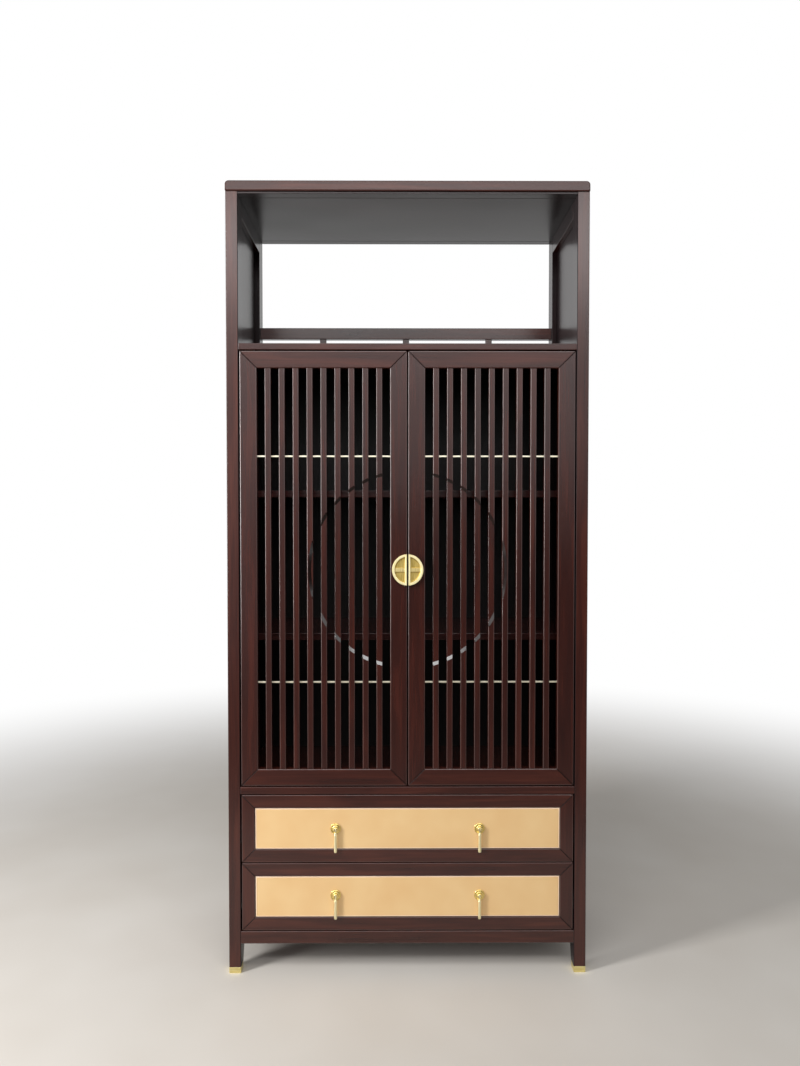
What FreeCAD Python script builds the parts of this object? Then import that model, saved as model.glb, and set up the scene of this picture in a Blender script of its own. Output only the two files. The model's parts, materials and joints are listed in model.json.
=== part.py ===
import FreeCAD, Part
import Sketcher
import math
import os
import re

# A tall hardwood cabinet: an open display bay above two slatted doors, with two drawers below.
# The cabinet stands on the plane z = 0 and its front looks towards -y. The origin is the middle
# of its footprint, the door pulls counted in.

doc = FreeCAD.newDocument("slatted_cabinet")

# Driving sizes, in millimetres, grouped by the piece that they belong to.
SIZES = (
    # Overall size of the carcass, without the pulls.
    ("carcass_width", 900),
    ("carcass_depth", 380),
    ("carcass_height", 1980),
    # Fits and easing that the whole carcass shares.
    ("edge_round", 1.5),
    ("edge_chamfer", 1.2),
    ("groove_depth", 6),
    ("fit_clearance", 0.2),
    ("overrun", 2),
    # Corner posts, square above and tapered in depth below the rails.
    ("post_width", 30),
    ("post_depth", 55),
    ("leg_height", 75),
    ("foot_depth", 28),
    # Brass caps on the feet.
    ("cap_height", 15),
    ("cap_wall", 2),
    ("cap_floor", 3),
    # Top board.
    ("top_thickness", 25),
    ("top_overhang", 1),
    ("top_end_round", 9),
    # Ceiling of the display bay: two rails with a panel between them.
    ("ceiling_thickness", 7),
    ("ceiling_rail_depth", 28),
    ("shadow_gap_height", 3),
    ("shadow_gap_depth", 4),
    # Side frames.
    ("side_rail_setback", 2),
    ("side_rail_top_height", 48),
    ("side_rail_middle_height", 40),
    ("panel_recess", 13),
    ("side_panel_thickness", 9),
    # Rails at the foot of the carcass, and the board between them.
    ("apron_height", 32),
    ("apron_depth", 25),
    ("bottom_board_thickness", 9),
    ("bottom_board_drop", 12),
    # Back panel.
    ("back_setback", 10),
    ("back_thickness", 9),
    # Display bay: its clear height, its shelf, and the gallery rail on struts at the back.
    ("bay_height", 366.5),
    ("display_shelf_thickness", 16),
    ("gallery_height", 32),
    ("gallery_depth", 22),
    ("gallery_setback", 16),
    ("strut_height", 82),
    ("strut_width", 18),
    ("strut_depth", 16),
    ("strut_spacing", 240),
    # Floor of the cupboard, the two shelves in it, and the cleats below them.
    ("floor_thickness", 18.5),
    ("inner_shelf_thickness", 18),
    ("inner_shelf_setback", 50),
    ("lower_shelf_clear", 362),
    ("cleat_height", 20),
    # Doors.
    ("door_thickness", 22),
    ("door_side_gap", 3),
    ("door_meeting_gap", 3),
    ("door_end_gap", 3),
    ("door_member_width", 42),
    ("joint_chamfer", 1.2),
    # Door slats, with the round moon milled across them.
    ("slat_count", 9),
    ("slat_width", 15),
    ("slat_thickness", 16),
    ("slat_setback", 2),
    ("slat_chamfer", 1.5),
    ("moon_radius", 249),
    ("moon_bevel", 8),
    ("moon_depth", 3.5),
    # Square brass tie rods through the slats.
    ("rod_side", 4),
    ("rod_offset", 283),
    ("rod_grip", 8),
    # Pivot pins of the doors, on square shanks, and the square bushes that they turn in.
    ("pivot_inset", 30),
    ("pivot_setback", 9),
    ("pin_radius", 3),
    ("pin_reach", 9),
    ("shank_side", 9),
    ("shank_length", 20),
    ("bush_side", 12),
    ("bush_depth", 11),
    ("turning_clearance", 0.1),
    # Half-moon door pulls.
    ("pull_radius", 39),
    ("pull_height", 10),
    ("pull_edge_gap", 0.7),
    ("pull_rim_width", 7),
    ("pull_edge_width", 4.5),
    ("pull_recess_depth", 5),
    ("pull_bar_height", 9.5),
    ("pull_bar_drop", 2),
    ("pull_bevel", 1.5),
    # Magnetic catches and their strike plates.
    ("catch_length", 44),
    ("catch_depth", 14),
    ("catch_height", 12),
    ("catch_offset", 30),
    ("strike_thickness", 1.5),
    ("strike_height", 14),
    ("strike_drop", 2),
    ("catch_air_gap", 0.3),
    # Drawers.
    ("drawer_front_height", 171),
    ("drawer_front_thickness", 22),
    ("drawer_side_gap", 3),
    ("drawer_gap", 2),
    ("drawer_member_width", 33.5),
    ("leather_setback", 1.5),
    ("leather_round", 2),
    ("leather_gap", 0.3),
    ("box_lift", 18),
    ("box_top_clearance", 23),
    ("box_back_clearance", 8.6),
    ("box_wall", 12),
    ("box_bottom_thickness", 6),
    ("box_bottom_lift", 10),
    ("box_groove_depth", 6),
    # Telescopic drawer slides, three nested channels each.
    ("slide_thickness", 12.5),
    ("slide_height", 45),
    ("slide_back_clearance", 6.6),
    ("slide_sheet", 1.5),
    ("slide_gap", 0.4),
    ("slide_lift", 63),
    ("slide_start", 24),
    # Drop pulls of the drawers.
    ("rosette_spacing", 362),
    ("lower_rosette_rise", 4),
    ("rosette_radius", 13.5),
    ("rosette_thickness", 3),
    ("rosette_edge", 1.5),
    ("boss_radius", 6.5),
    ("boss_bore_radius", 2.2),
    ("boss_bore_depth", 3),
    ("hinge_pin_radius", 1.2),
    ("hinge_lift", 4),
    ("tongue_thickness", 3),
    ("tongue_radius", 2.8),
    ("tongue_clearance", 0.3),
    ("drop_bar_radius", 3.8),
    ("drop_end_radius", 4.2),
    ("drop_end_length", 8),
    ("drop_end_bevel", 0.8),
    ("drop_length", 58.5),
    ("drop_shoulder_clearance", 2),
    ("drop_face_clearance", 1.3),
)

# Sizes and places that follow from the driving ones.
FOLLOWING = {
    "half_width": "carcass_width / 2",
    "inner_half": "half_width - post_width",
    "inner_width": "2 * inner_half",
    "front": "-(carcass_depth - pull_height) / 2",
    "back": "front + carcass_depth",
    "post_top": "carcass_height - top_thickness",
    "cap_top_depth": "foot_depth + (post_depth - foot_depth) * cap_height / leg_height",
    "post_gap": "carcass_depth - 2 * post_depth",
    "tongue": "groove_depth - fit_clearance",
    "side_groove_width": "side_panel_thickness + 2 * fit_clearance",
    "side_rail_thickness": "post_width - side_rail_setback",
    "apron_top": "leg_height + apron_height",
    "lower_drawer_bottom": "apron_top + drawer_gap",
    "upper_drawer_bottom": "lower_drawer_bottom + drawer_front_height + drawer_gap",
    "floor_bottom": "upper_drawer_bottom + drawer_front_height + drawer_gap",
    "floor_top": "floor_bottom + floor_thickness",
    "display_top": "post_top - ceiling_thickness - bay_height",
    "display_bottom": "display_top - display_shelf_thickness",
    "cupboard_height": "display_bottom - floor_top",
    "lower_shelf_bottom": "floor_top + lower_shelf_clear",
    "upper_shelf_clear": "(display_bottom - lower_shelf_bottom - 2 * inner_shelf_thickness) / 2",
    "upper_shelf_bottom": "lower_shelf_bottom + inner_shelf_thickness + upper_shelf_clear",
    "bottom_board_bottom": "apron_top - bottom_board_drop - bottom_board_thickness",
    "back_face": "carcass_depth - back_setback - back_thickness - 2 * fit_clearance",
    "door_width": "inner_half - door_side_gap - door_meeting_gap / 2",
    "door_height": "cupboard_height - 2 * door_end_gap",
    "door_opening_width": "door_width - 2 * door_member_width",
    "door_opening_height": "door_height - 2 * door_member_width",
    "slat_space": "(door_opening_width - slat_count * slat_width) / (slat_count + 1)",
    "rod_near_face": "slat_setback + (slat_thickness - rod_side) / 2",
    "rod_hole_side": "rod_side + fit_clearance",
    "drawer_width": "inner_width - 2 * drawer_side_gap",
    "panel_width": "drawer_width - 2 * drawer_member_width - 2 * leather_gap",
    "panel_height": "drawer_front_height - 2 * drawer_member_width - 2 * leather_gap",
    "box_half": "inner_half - slide_thickness",
    "box_length": "back_face - drawer_front_thickness - box_back_clearance",
    "box_height": "drawer_front_height - box_lift - box_top_clearance",
    "slide_length": "back_face - slide_start - slide_back_clearance",
    "middle_height": "slide_height - 2 * slide_sheet - 2 * slide_gap",
    "inner_height": "middle_height - 2 * slide_sheet - 2 * slide_gap",
    "rosette_face": "leather_setback - rosette_thickness",
    "hinge_pin_y": "-(drop_end_radius + drop_face_clearance)",
    "boss_face": "hinge_pin_y - hinge_lift",
    "slot_width": "tongue_thickness + 2 * tongue_clearance",
    "slot_top": "tongue_radius + fit_clearance",
    "drop_shoulder": "boss_radius + drop_shoulder_clearance",
}

sheet = doc.addObject("Spreadsheet::Sheet", "sizes")
for row, (alias, value) in enumerate(SIZES, 1):
    sheet.set("A%d" % row, alias)
    sheet.set("B%d" % row, str(value))
    sheet.setAlias("B%d" % row, alias)
doc.recompute()

sub_parts = []


# Formulas, places and features

def linked(formula):
    """The formula with every named size tied to its cell of the sheet."""
    def tie(match):
        word = match.group(0)
        if word in FOLLOWING:
            return "(" + linked(FOLLOWING[word]) + ")"
        return "sizes." + word
    return re.sub(r"[a-z_]+", tie, formula)


def low(sign, start, size):
    """The lower end of a stretch that starts at start and runs size towards sign."""
    return start if sign > 0 else "-(%s + %s)" % (start, size)


def signed(sign, distance):
    """The distance, measured towards sign."""
    return distance if sign > 0 else "-(%s)" % distance


def place(thing, at):
    for axis, formula in zip("xyz", at):
        thing.setExpression("Placement.Base." + axis, linked(formula))


def new_body(label, at):
    body = doc.addObject("PartDesign::Body", label)
    body.Label = label
    place(body, at)
    return body


def keep(thing, label=None):
    """Counts an object as a finished sub-part, under its own label."""
    if label:
        thing.Label = label
    sub_parts.append(thing)
    return thing


def group(label, things):
    """Like pieces that share one sub-part, each still a solid of its own."""
    compound = doc.addObject("Part::Compound", label)
    compound.Links = things
    return keep(compound)


def outline(body, name, plane, points, lift):
    """A closed sketch of straight lines, each corner tied to the sheet."""
    sketch = body.newObject("Sketcher::SketchObject", name)
    origin_plane = [item for item in body.Origin.OriginFeatures if item.Role == plane][0]
    sketch.AttachmentSupport = [(origin_plane, "")]
    sketch.MapMode = "FlatFace"
    sketch.setExpression("AttachmentOffset.Base.z", linked(lift))
    turns = [2 * math.pi * corner / len(points) for corner in range(len(points))]
    rough = [FreeCAD.Vector(math.cos(turn), math.sin(turn), 0) for turn in turns]
    for corner, start in enumerate(rough):
        sketch.addGeometry(Part.LineSegment(start, rough[(corner + 1) % len(points)]))
    for corner in range(len(points)):
        following = (corner + 1) % len(points)
        sketch.addConstraint(Sketcher.Constraint("Coincident", corner, 2, following, 1))
    for corner, (across, along) in enumerate(points):
        for kind, formula, first in (("DistanceX", across, rough[corner].x),
                                     ("DistanceY", along, rough[corner].y)):
            number = sketch.addConstraint(Sketcher.Constraint(kind, -1, 1, corner, 1, first))
            sketch.setExpression("Constraints[%d]" % number, linked(formula))
    return sketch


def prism(body, name, plane, points, start, thickness):
    """A pad of an outline, from start, over thickness, towards the plane's positive axis."""
    lift = "-(%s + %s)" % (start, thickness) if plane == "XZ_Plane" else start
    sketch = outline(body, name + "_outline", plane, points, lift)
    pad = body.newObject("PartDesign::Pad", name)
    pad.Profile = sketch
    pad.setExpression("Length", linked(thickness))
    return pad


def block(body, kind, name, size, at):
    """An additive or subtractive box, by its size and its lowest corner."""
    feature = body.newObject("PartDesign::" + kind + "Box", name)
    for side, formula in zip(("Length", "Width", "Height"), size):
        feature.setExpression(side, linked(formula))
    place(feature, at)
    return feature


TURNS = {
    "x": FreeCAD.Rotation(FreeCAD.Vector(0, 1, 0), 90),
    "y": FreeCAD.Rotation(FreeCAD.Vector(1, 0, 0), -90),
    "z": FreeCAD.Rotation(),
}


def rod(body, kind, name, axis, radius, length, at):
    """An additive or subtractive cylinder along an axis, by the middle of its lower end."""
    feature = body.newObject("PartDesign::" + kind + "Cylinder", name)
    feature.setExpression("Radius", linked(radius))
    feature.setExpression("Height", linked(length))
    feature.Placement = FreeCAD.Placement(FreeCAD.Vector(), TURNS[axis])
    place(feature, at)
    return feature


def taper(body, kind, name, axis, radii, length, at):
    """An additive or subtractive cone along an axis."""
    feature = body.newObject("PartDesign::" + kind + "Cone", name)
    for side, formula in zip(("Radius1", "Radius2"), radii):
        feature.setExpression(side, linked(formula))
    feature.setExpression("Height", linked(length))
    feature.Placement = FreeCAD.Placement(FreeCAD.Vector(), TURNS[axis])
    place(feature, at)
    return feature


def ease(body, kind, name, size, wanted):
    """Rounds or chamfers those edges of the body's last feature that the test wants."""
    doc.recompute()
    base = body.Tip
    box = base.Shape.BoundBox
    names = ["Edge%d" % number for number, edge in enumerate(base.Shape.Edges, 1)
             if wanted(edge.BoundBox, box)]
    feature = body.newObject("PartDesign::" + kind, name)
    feature.Base = (base, names)
    feature.setExpression("Radius" if kind == "Fillet" else "Size", linked(size))
    return feature


# Tests that pick edges by where they lie in the box of the whole piece.

def near(first, second):
    return math.isclose(first, second, rel_tol=1e-6, abs_tol=1e-6)


def on_front(edge, box):
    return near(edge.YMax, box.YMin)


def along_front(edge, box):
    return on_front(edge, box) and near(edge.ZMin, edge.ZMax)


def lower_rim(edge, box):
    return near(edge.ZMax, box.ZMin)


def rises(edge, box):
    return not near(edge.ZMin, edge.ZMax)


def runs_across(edge, box):
    return near(edge.XLength, box.XLength)


def on_outer_side(side):
    """Picks the level edges of the outer face of a piece on that side."""
    def wanted(edge, box):
        outer = box.XMax if side > 0 else box.XMin
        return near(edge.XMin, outer) and near(edge.XMax, outer) and near(edge.ZMin, edge.ZMax)
    return wanted


SIDES = (("left", -1), ("right", 1))
ENDS = (("front", 1), ("back", -1))


# Corner posts and their brass caps. The inner face lies at x = 0, the face that looks out at
# y = 0, and the post runs outwards in x and inwards in y.

def leg_outline(end, bottom, bottom_depth, top, top_depth):
    return ((signed(end, "0"), bottom), (signed(end, bottom_depth), bottom),
            (signed(end, top_depth), top), (signed(end, "0"), top))


def build_post(side_name, side, end_name, end):
    at = (signed(side, "inner_half"), end_name, "0")
    post = new_body("post_%s_%s" % (end_name, side_name), at)
    profile = (("0", "cap_height"), (signed(end, "cap_top_depth"), "cap_height"),
               (signed(end, "post_depth"), "leg_height"), (signed(end, "post_depth"), "post_top"),
               ("0", "post_top"))
    prism(post, "shaft", "YZ_Plane", profile, low(side, "0", "post_width"), "post_width")
    ease(post, "Chamfer", "eased_edges", "edge_chamfer", rises)
    spigot = ("post_width - 2 * (cap_wall + fit_clearance)",
              "foot_depth - 2 * (cap_wall + fit_clearance)", "cap_height - cap_floor")
    block(post, "Additive", "spigot", spigot,
          (low(side, "cap_wall + fit_clearance", spigot[0]),
           low(end, "cap_wall + fit_clearance", spigot[1]), "cap_floor"))
    groove = ("side_groove_width", "groove_depth + overrun",
              "post_top - apron_top + groove_depth + overrun")
    block(post, "Subtractive", "side_panel_groove", groove,
          (low(side, "panel_recess", groove[0]), low(end, "post_depth - groove_depth", groove[1]),
           "apron_top - groove_depth"))
    if end < 0:
        groove = ("groove_depth + overrun", "back_thickness + 2 * fit_clearance",
                  "display_bottom - apron_top")
        block(post, "Subtractive", "back_panel_groove", groove,
              (low(side, "-overrun", groove[0]), low(end, "back_setback", groove[1]), "apron_top"))
    return keep(post)


def build_foot_cap(side_name, side, end_name, end):
    at = (signed(side, "inner_half"), end_name, "0")
    cap = new_body("foot_cap_%s_%s" % (end_name, side_name), at)
    profile = leg_outline(end, "0", "foot_depth", "cap_height", "cap_top_depth")
    prism(cap, "cup", "YZ_Plane", profile, low(side, "0", "post_width"), "post_width")
    ease(cap, "Chamfer", "eased_edges", "edge_chamfer", rises)
    socket = ("post_width - 2 * cap_wall", "foot_depth - 2 * cap_wall", "cap_height")
    block(cap, "Subtractive", "socket", socket,
          (low(side, "cap_wall", socket[0]), low(end, "cap_wall", socket[1]), "cap_floor"))
    return cap


caps = []
for end_name, end in ENDS:
    for side_name, side in SIDES:
        build_post(side_name, side, end_name, end)
        caps.append(build_foot_cap(side_name, side, end_name, end))
group("foot_caps", caps)


# Side frames: three rails on each side between the posts, with a panel in grooves between them.

def build_side_rail(name, side_name, side, bottom, height, panel_above, panel_below):
    at = (signed(side, "inner_half"), "front + post_depth", bottom)
    rail = new_body("%s_%s" % (name, side_name), at)
    block(rail, "Additive", "bar", ("side_rail_thickness", "post_gap", height),
          (low(side, "0", "side_rail_thickness"), "0", "0"))
    ease(rail, "Chamfer", "eased_edges", "joint_chamfer", on_outer_side(side))
    groove_size = ("side_groove_width", "post_gap + 2 * overrun", "groove_depth + overrun")
    groove_x = low(side, "panel_recess", "side_groove_width")
    if panel_above:
        block(rail, "Subtractive", "upper_groove", groove_size,
              (groove_x, "-overrun", height + " - groove_depth"))
    if panel_below:
        block(rail, "Subtractive", "lower_groove", groove_size, (groove_x, "-overrun", "-overrun"))
    return rail


def build_side_panel(name, side_name, side, bottom, top):
    at = (signed(side, "inner_half"), "front + post_depth - tongue", bottom + " - tongue")
    panel = new_body("%s_%s" % (name, side_name), at)
    size = ("side_panel_thickness", "post_gap + 2 * tongue", "%s - (%s) + 2 * tongue" % (top, bottom))
    block(panel, "Additive", "board", size,
          (low(side, "panel_recess + fit_clearance", size[0]), "0", "0"))
    return panel


RAILS = (
    ("side_rail_top", "post_top - side_rail_top_height", "side_rail_top_height", False, True),
    ("side_rail_middle", "display_bottom - side_rail_middle_height", "side_rail_middle_height",
     True, True),
    ("side_rail_bottom", "leg_height", "apron_height", True, False),
)
side_rails = []
for name, bottom, height, panel_above, panel_below in RAILS:
    for side_name, side in SIDES:
        side_rail = build_side_rail(name, side_name, side, bottom, height, panel_above, panel_below)
        if name == "side_rail_bottom":
            block(side_rail, "Subtractive", "bottom_board_groove",
                  ("groove_depth + overrun", "post_gap + 2 * overrun",
                   "bottom_board_thickness + 2 * fit_clearance"),
                  (low(side, "-overrun", "groove_depth + overrun"), "-overrun",
                   "bottom_board_bottom - fit_clearance - leg_height"))
        side_rails.append(side_rail)
group("side_rails", side_rails)

PANELS = (
    ("side_panel_upper", "display_bottom", "post_top - side_rail_top_height"),
    ("side_panel_lower", "apron_top", "display_bottom - side_rail_middle_height"),
)
group("side_panels", [build_side_panel(name, side_name, side, bottom, top)
                      for name, bottom, top in PANELS for side_name, side in SIDES])


# Top board, a slab that covers the posts, with its ends rounded over.

top_board = new_body("top_board", ("0", "front - top_overhang", "post_top"))
half_top = "half_width + top_overhang"
block(top_board, "Additive", "slab",
      ("2 * (%s)" % half_top, "carcass_depth + top_overhang", "top_thickness"),
      ("-(%s)" % half_top, "0", "0"))


def upper_end(edge, box):
    return near(edge.ZMin, box.ZMax) and near(edge.XMin, edge.XMax)


ease(top_board, "Fillet", "rounded_ends", "top_end_round", upper_end)
ease(top_board, "Chamfer", "eased_front", "edge_chamfer", on_front)
keep(top_board)


# Ceiling of the display bay: a front rail, a back rail and the panel between them.

front_ceiling_rail = new_body("ceiling_front_rail", ("0", "front", "post_top - ceiling_thickness"))
rail_size = ("inner_width", "ceiling_rail_depth", "ceiling_thickness")
block(front_ceiling_rail, "Additive", "bar", rail_size, ("-inner_half", "0", "0"))
block(front_ceiling_rail, "Subtractive", "shadow_gap",
      ("inner_width + 2 * overrun", "shadow_gap_depth + overrun", "shadow_gap_height + overrun"),
      ("-inner_half - overrun", "-overrun", "ceiling_thickness - shadow_gap_height"))
keep(front_ceiling_rail)

back_ceiling_rail = new_body("ceiling_back_rail",
                             ("0", "back - ceiling_rail_depth", "post_top - ceiling_thickness"))
block(back_ceiling_rail, "Additive", "bar", rail_size, ("-inner_half", "0", "0"))
keep(back_ceiling_rail)

ceiling_panel = new_body("ceiling_panel",
                         ("0", "front + ceiling_rail_depth", "post_top - ceiling_thickness"))
block(ceiling_panel, "Additive", "board",
      ("inner_width", "carcass_depth - 2 * ceiling_rail_depth", "ceiling_thickness"),
      ("-inner_half", "0", "0"))


def lower_long(edge, box):
    return near(edge.ZMax, box.ZMin) and runs_across(edge, box)


ease(ceiling_panel, "Chamfer", "joint_lines", "joint_chamfer", lower_long)
keep(ceiling_panel)


# Boards that fit between the posts and reach into the side frames, notched at the posts.

def build_fitted_board(name, bottom, thickness, start, finish, reach):
    """start and finish are measured from the front plane, reach from the posts' inner faces."""
    board = new_body(name, ("0", "front", bottom))
    wide = "(inner_half + %s)" % reach
    narrow = "(inner_half - fit_clearance)"
    notch_front = "(post_depth + fit_clearance)"
    notch_back = "(carcass_depth - post_depth - fit_clearance)"
    right = ((narrow, start), (narrow, notch_front), (wide, notch_front), (wide, notch_back),
             (narrow, notch_back), (narrow, finish))
    left = tuple(("-" + across, along) for across, along in reversed(right))
    prism(board, "board", "XY_Plane", right + left, "0", thickness)
    return board


SHELF_REACH = "panel_recess"
display_shelf = build_fitted_board("display_shelf", "display_bottom", "display_shelf_thickness",
                                   "0", "carcass_depth", SHELF_REACH)
cupboard_floor = build_fitted_board("cupboard_floor", "floor_bottom", "floor_thickness",
                                    "0", "back_face", SHELF_REACH)
for board, bush_bottom in ((display_shelf, "-overrun"),
                           (cupboard_floor, "floor_thickness - bush_depth")):
    ease(board, "Fillet", "rounded_front", "edge_round", along_front)
    for side_name, side in SIDES:
        across = signed(side, "inner_half - door_side_gap - pivot_inset")
        block(board, "Subtractive", "bush_mortise_" + side_name,
              ("bush_side", "bush_side", "bush_depth + overrun"),
              (across + " - bush_side / 2", "pivot_setback - bush_side / 2", bush_bottom))
    keep(board)

for name, bottom in (("inner_shelf_lower", "lower_shelf_bottom"),
                     ("inner_shelf_upper", "upper_shelf_bottom")):
    shelf = build_fitted_board(name, bottom, "inner_shelf_thickness",
                               "inner_shelf_setback", "back_face", SHELF_REACH)
    ease(shelf, "Chamfer", "eased_front", "edge_chamfer", along_front)
    keep(shelf)

keep(build_fitted_board("bottom_board", "bottom_board_bottom", "bottom_board_thickness",
                        "apron_depth - tongue", "carcass_depth - apron_depth + tongue", "tongue"))

cleats = []
for name, top in (("floor", "floor_bottom"), ("lower", "lower_shelf_bottom"),
                  ("upper", "upper_shelf_bottom")):
    for side_name, side in SIDES:
        cleat = new_body("cleat_%s_%s" % (name, side_name),
                         (signed(side, "inner_half"), "front + post_depth", top + " - cleat_height"))
        block(cleat, "Additive", "bar", ("panel_recess", "post_gap", "cleat_height"),
              (low(side, "0", "panel_recess"), "0", "0"))
        cleats.append(cleat)
group("shelf_cleats", cleats)


# Rails at the foot of the carcass, grooved for the bottom board, and the back panel.

for name, end_name, end in (("bottom_front_rail", "front", 1), ("bottom_back_rail", "back", -1)):
    rail = new_body(name, ("0", end_name, "leg_height"))
    block(rail, "Additive", "bar", ("inner_width", "apron_depth", "apron_height"),
          ("-inner_half", low(end, "0", "apron_depth"), "0"))

    def outer_long(edge, box, end=end):
        outer = box.YMin if end > 0 else box.YMax
        return near(edge.YMin, outer) and near(edge.YMax, outer) and runs_across(edge, box)

    ease(rail, "Chamfer", "eased_edges", "edge_chamfer", outer_long)
    groove = ("inner_width + 2 * overrun", "groove_depth + overrun",
              "bottom_board_thickness + 2 * fit_clearance")
    block(rail, "Subtractive", "bottom_board_groove", groove,
          ("-inner_half - overrun", low(end, "apron_depth - groove_depth", groove[1]),
           "bottom_board_bottom - fit_clearance - leg_height"))
    keep(rail)

back_panel = new_body("back_panel",
                      ("0", "back - back_setback - back_thickness - fit_clearance", "apron_top"))
block(back_panel, "Additive", "board",
      ("inner_width + 2 * tongue", "back_thickness", "display_bottom - apron_top"),
      ("-inner_half - tongue", "0", "0"))
keep(back_panel)


# Gallery rail across the back of the display bay, on three struts.

gallery_front = "back - gallery_setback - gallery_depth"
gallery_rail = new_body("gallery_rail", ("0", gallery_front, "display_top + strut_height"))
block(gallery_rail, "Additive", "bar", ("inner_width", "gallery_depth", "gallery_height"),
      ("-inner_half", "0", "0"))
ease(gallery_rail, "Fillet", "rounded_edges", "edge_round", runs_across)
keep(gallery_rail)

struts = []
for number, step in enumerate((-1, 0, 1), 1):
    strut = new_body("gallery_strut_%d" % number,
                     ("%d * strut_spacing" % step,
                      gallery_front + " + (gallery_depth - strut_depth) / 2", "display_top"))
    block(strut, "Additive", "bar", ("strut_width", "strut_depth", "strut_height"),
          ("-strut_width / 2", "0", "0"))
    ease(strut, "Chamfer", "eased_edges", "edge_chamfer", rises)
    struts.append(strut)
group("gallery_struts", struts)


# Mitred frames, for the doors and for the drawer fronts. Across is measured from one edge of
# the frame and up from its lower edge, and the front face lies at y = 0.

def build_mitred_frame(prefix, at, sign, width, height, member, thickness):
    """The four members, as two uprights and two level ones, each with eased front edges."""
    far = "(%s - %s)" % (width, member)
    high = "(%s - %s)" % (height, member)
    outlines = (
        ("stile_outer", (("0", "0"), (member, member), (member, high), ("0", height))),
        ("stile_inner", ((width, "0"), (width, height), (far, high), (far, member))),
        ("rail_lower", (("0", "0"), (width, "0"), (far, member), (member, member))),
        ("rail_upper", (("0", height), (member, high), (far, high), (width, height))),
    )
    members = []
    for name, corners in outlines:
        piece = new_body(prefix + "_" + name, at)
        points = tuple((signed(sign, across), up) for across, up in corners)
        prism(piece, "member", "XZ_Plane", points, "0", thickness)
        ease(piece, "Chamfer", "eased_front", "joint_chamfer", on_front)
        members.append(piece)
    return members[:2], members[2:]


# Doors. Across is measured from the hinge edge towards the middle of the cabinet.

ROD_HEIGHTS = (("upper", "rod_offset"), ("lower", "-rod_offset"))


def square_hole(body, name, sign, start, length, drop):
    """A hole that a tie rod passes through, centred on it in depth and height."""
    block(body, "Subtractive", name, (length, "rod_hole_side", "rod_hole_side"),
          (low(sign, start, length), "rod_near_face - fit_clearance / 2",
           "(door_height - rod_hole_side) / 2 + " + drop))


def build_slats(prefix, at, sign):
    """A row of upright slats, drilled for the tie rods and milled with the moon."""
    slats = new_body(prefix + "_slats", at)
    near_edge = "slat_setback"
    far_edge = "(slat_setback + slat_thickness)"
    start = low(sign, "door_member_width + slat_space",
                "door_opening_width - 2 * slat_space")
    across = ("0", "slat_chamfer", "(slat_width - slat_chamfer)", "slat_width")
    section = ((across[1], near_edge), (across[2], near_edge),
               (across[3], near_edge + " + slat_chamfer"), (across[3], far_edge + " - slat_chamfer"),
               (across[2], far_edge), (across[1], far_edge),
               (across[0], far_edge + " - slat_chamfer"), (across[0], near_edge + " + slat_chamfer"))
    points = tuple(("%s + %s" % (start, over), deep) for over, deep in section)
    bar = prism(slats, "slat", "XY_Plane", points, "door_member_width", "door_opening_height")
    row = slats.newObject("PartDesign::LinearPattern", "row")
    row.Originals = [bar]
    row.Direction = ([item for item in slats.Origin.OriginFeatures if item.Role == "X_Axis"][0], [""])
    row.Mode = "Spacing"
    row.setExpression("Offset", linked("slat_width + slat_space"))
    row.setExpression("Occurrences", linked("slat_count"))
    slats.Tip = row
    for name, drop in ROD_HEIGHTS:
        square_hole(slats, "rod_holes_" + name, sign, "door_member_width", "door_opening_width", drop)
    taper(slats, "Subtractive", "moon", "y", ("moon_radius", "moon_radius - moon_bevel"), "moon_depth",
          (signed(sign, "door_width + door_meeting_gap / 2"), near_edge, "door_height / 2"))
    return slats


def build_tie_rods(prefix, at, sign):
    rods = []
    for name, drop in ROD_HEIGHTS:
        tie_rod = new_body("%s_tie_rod_%s" % (prefix, name), at)
        length = "door_opening_width + 2 * rod_grip"
        block(tie_rod, "Additive", "bar", (length, "rod_side", "rod_side"),
              (low(sign, "door_member_width - rod_grip", length), "rod_near_face",
               "(door_height - rod_side) / 2 + " + drop))
        rods.append(tie_rod)
    return rods


def square_bar(body, kind, name, across, side, length, bottom):
    """An upright square bar or hole, centred on the line that a door turns about."""
    block(body, kind, name, (side, side, length),
          ("%s - %s / 2" % (across, side), "pivot_setback - %s / 2" % side, bottom))


def build_pivot_pin(name, at, sign, up):
    """A pin on a square shank in the door's edge, whose tip turns in a bush."""
    pin = new_body(name, at)
    across = signed(sign, "pivot_inset")
    reach = "door_end_gap + pin_reach"
    square_bar(pin, "Additive", "shank", across, "shank_side", "shank_length",
               "door_height - shank_length" if up > 0 else "0")
    rod(pin, "Additive", "pin", "z", "pin_radius", reach,
        (across, "pivot_setback", "door_height" if up > 0 else "-(%s)" % reach))
    return pin


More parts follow.
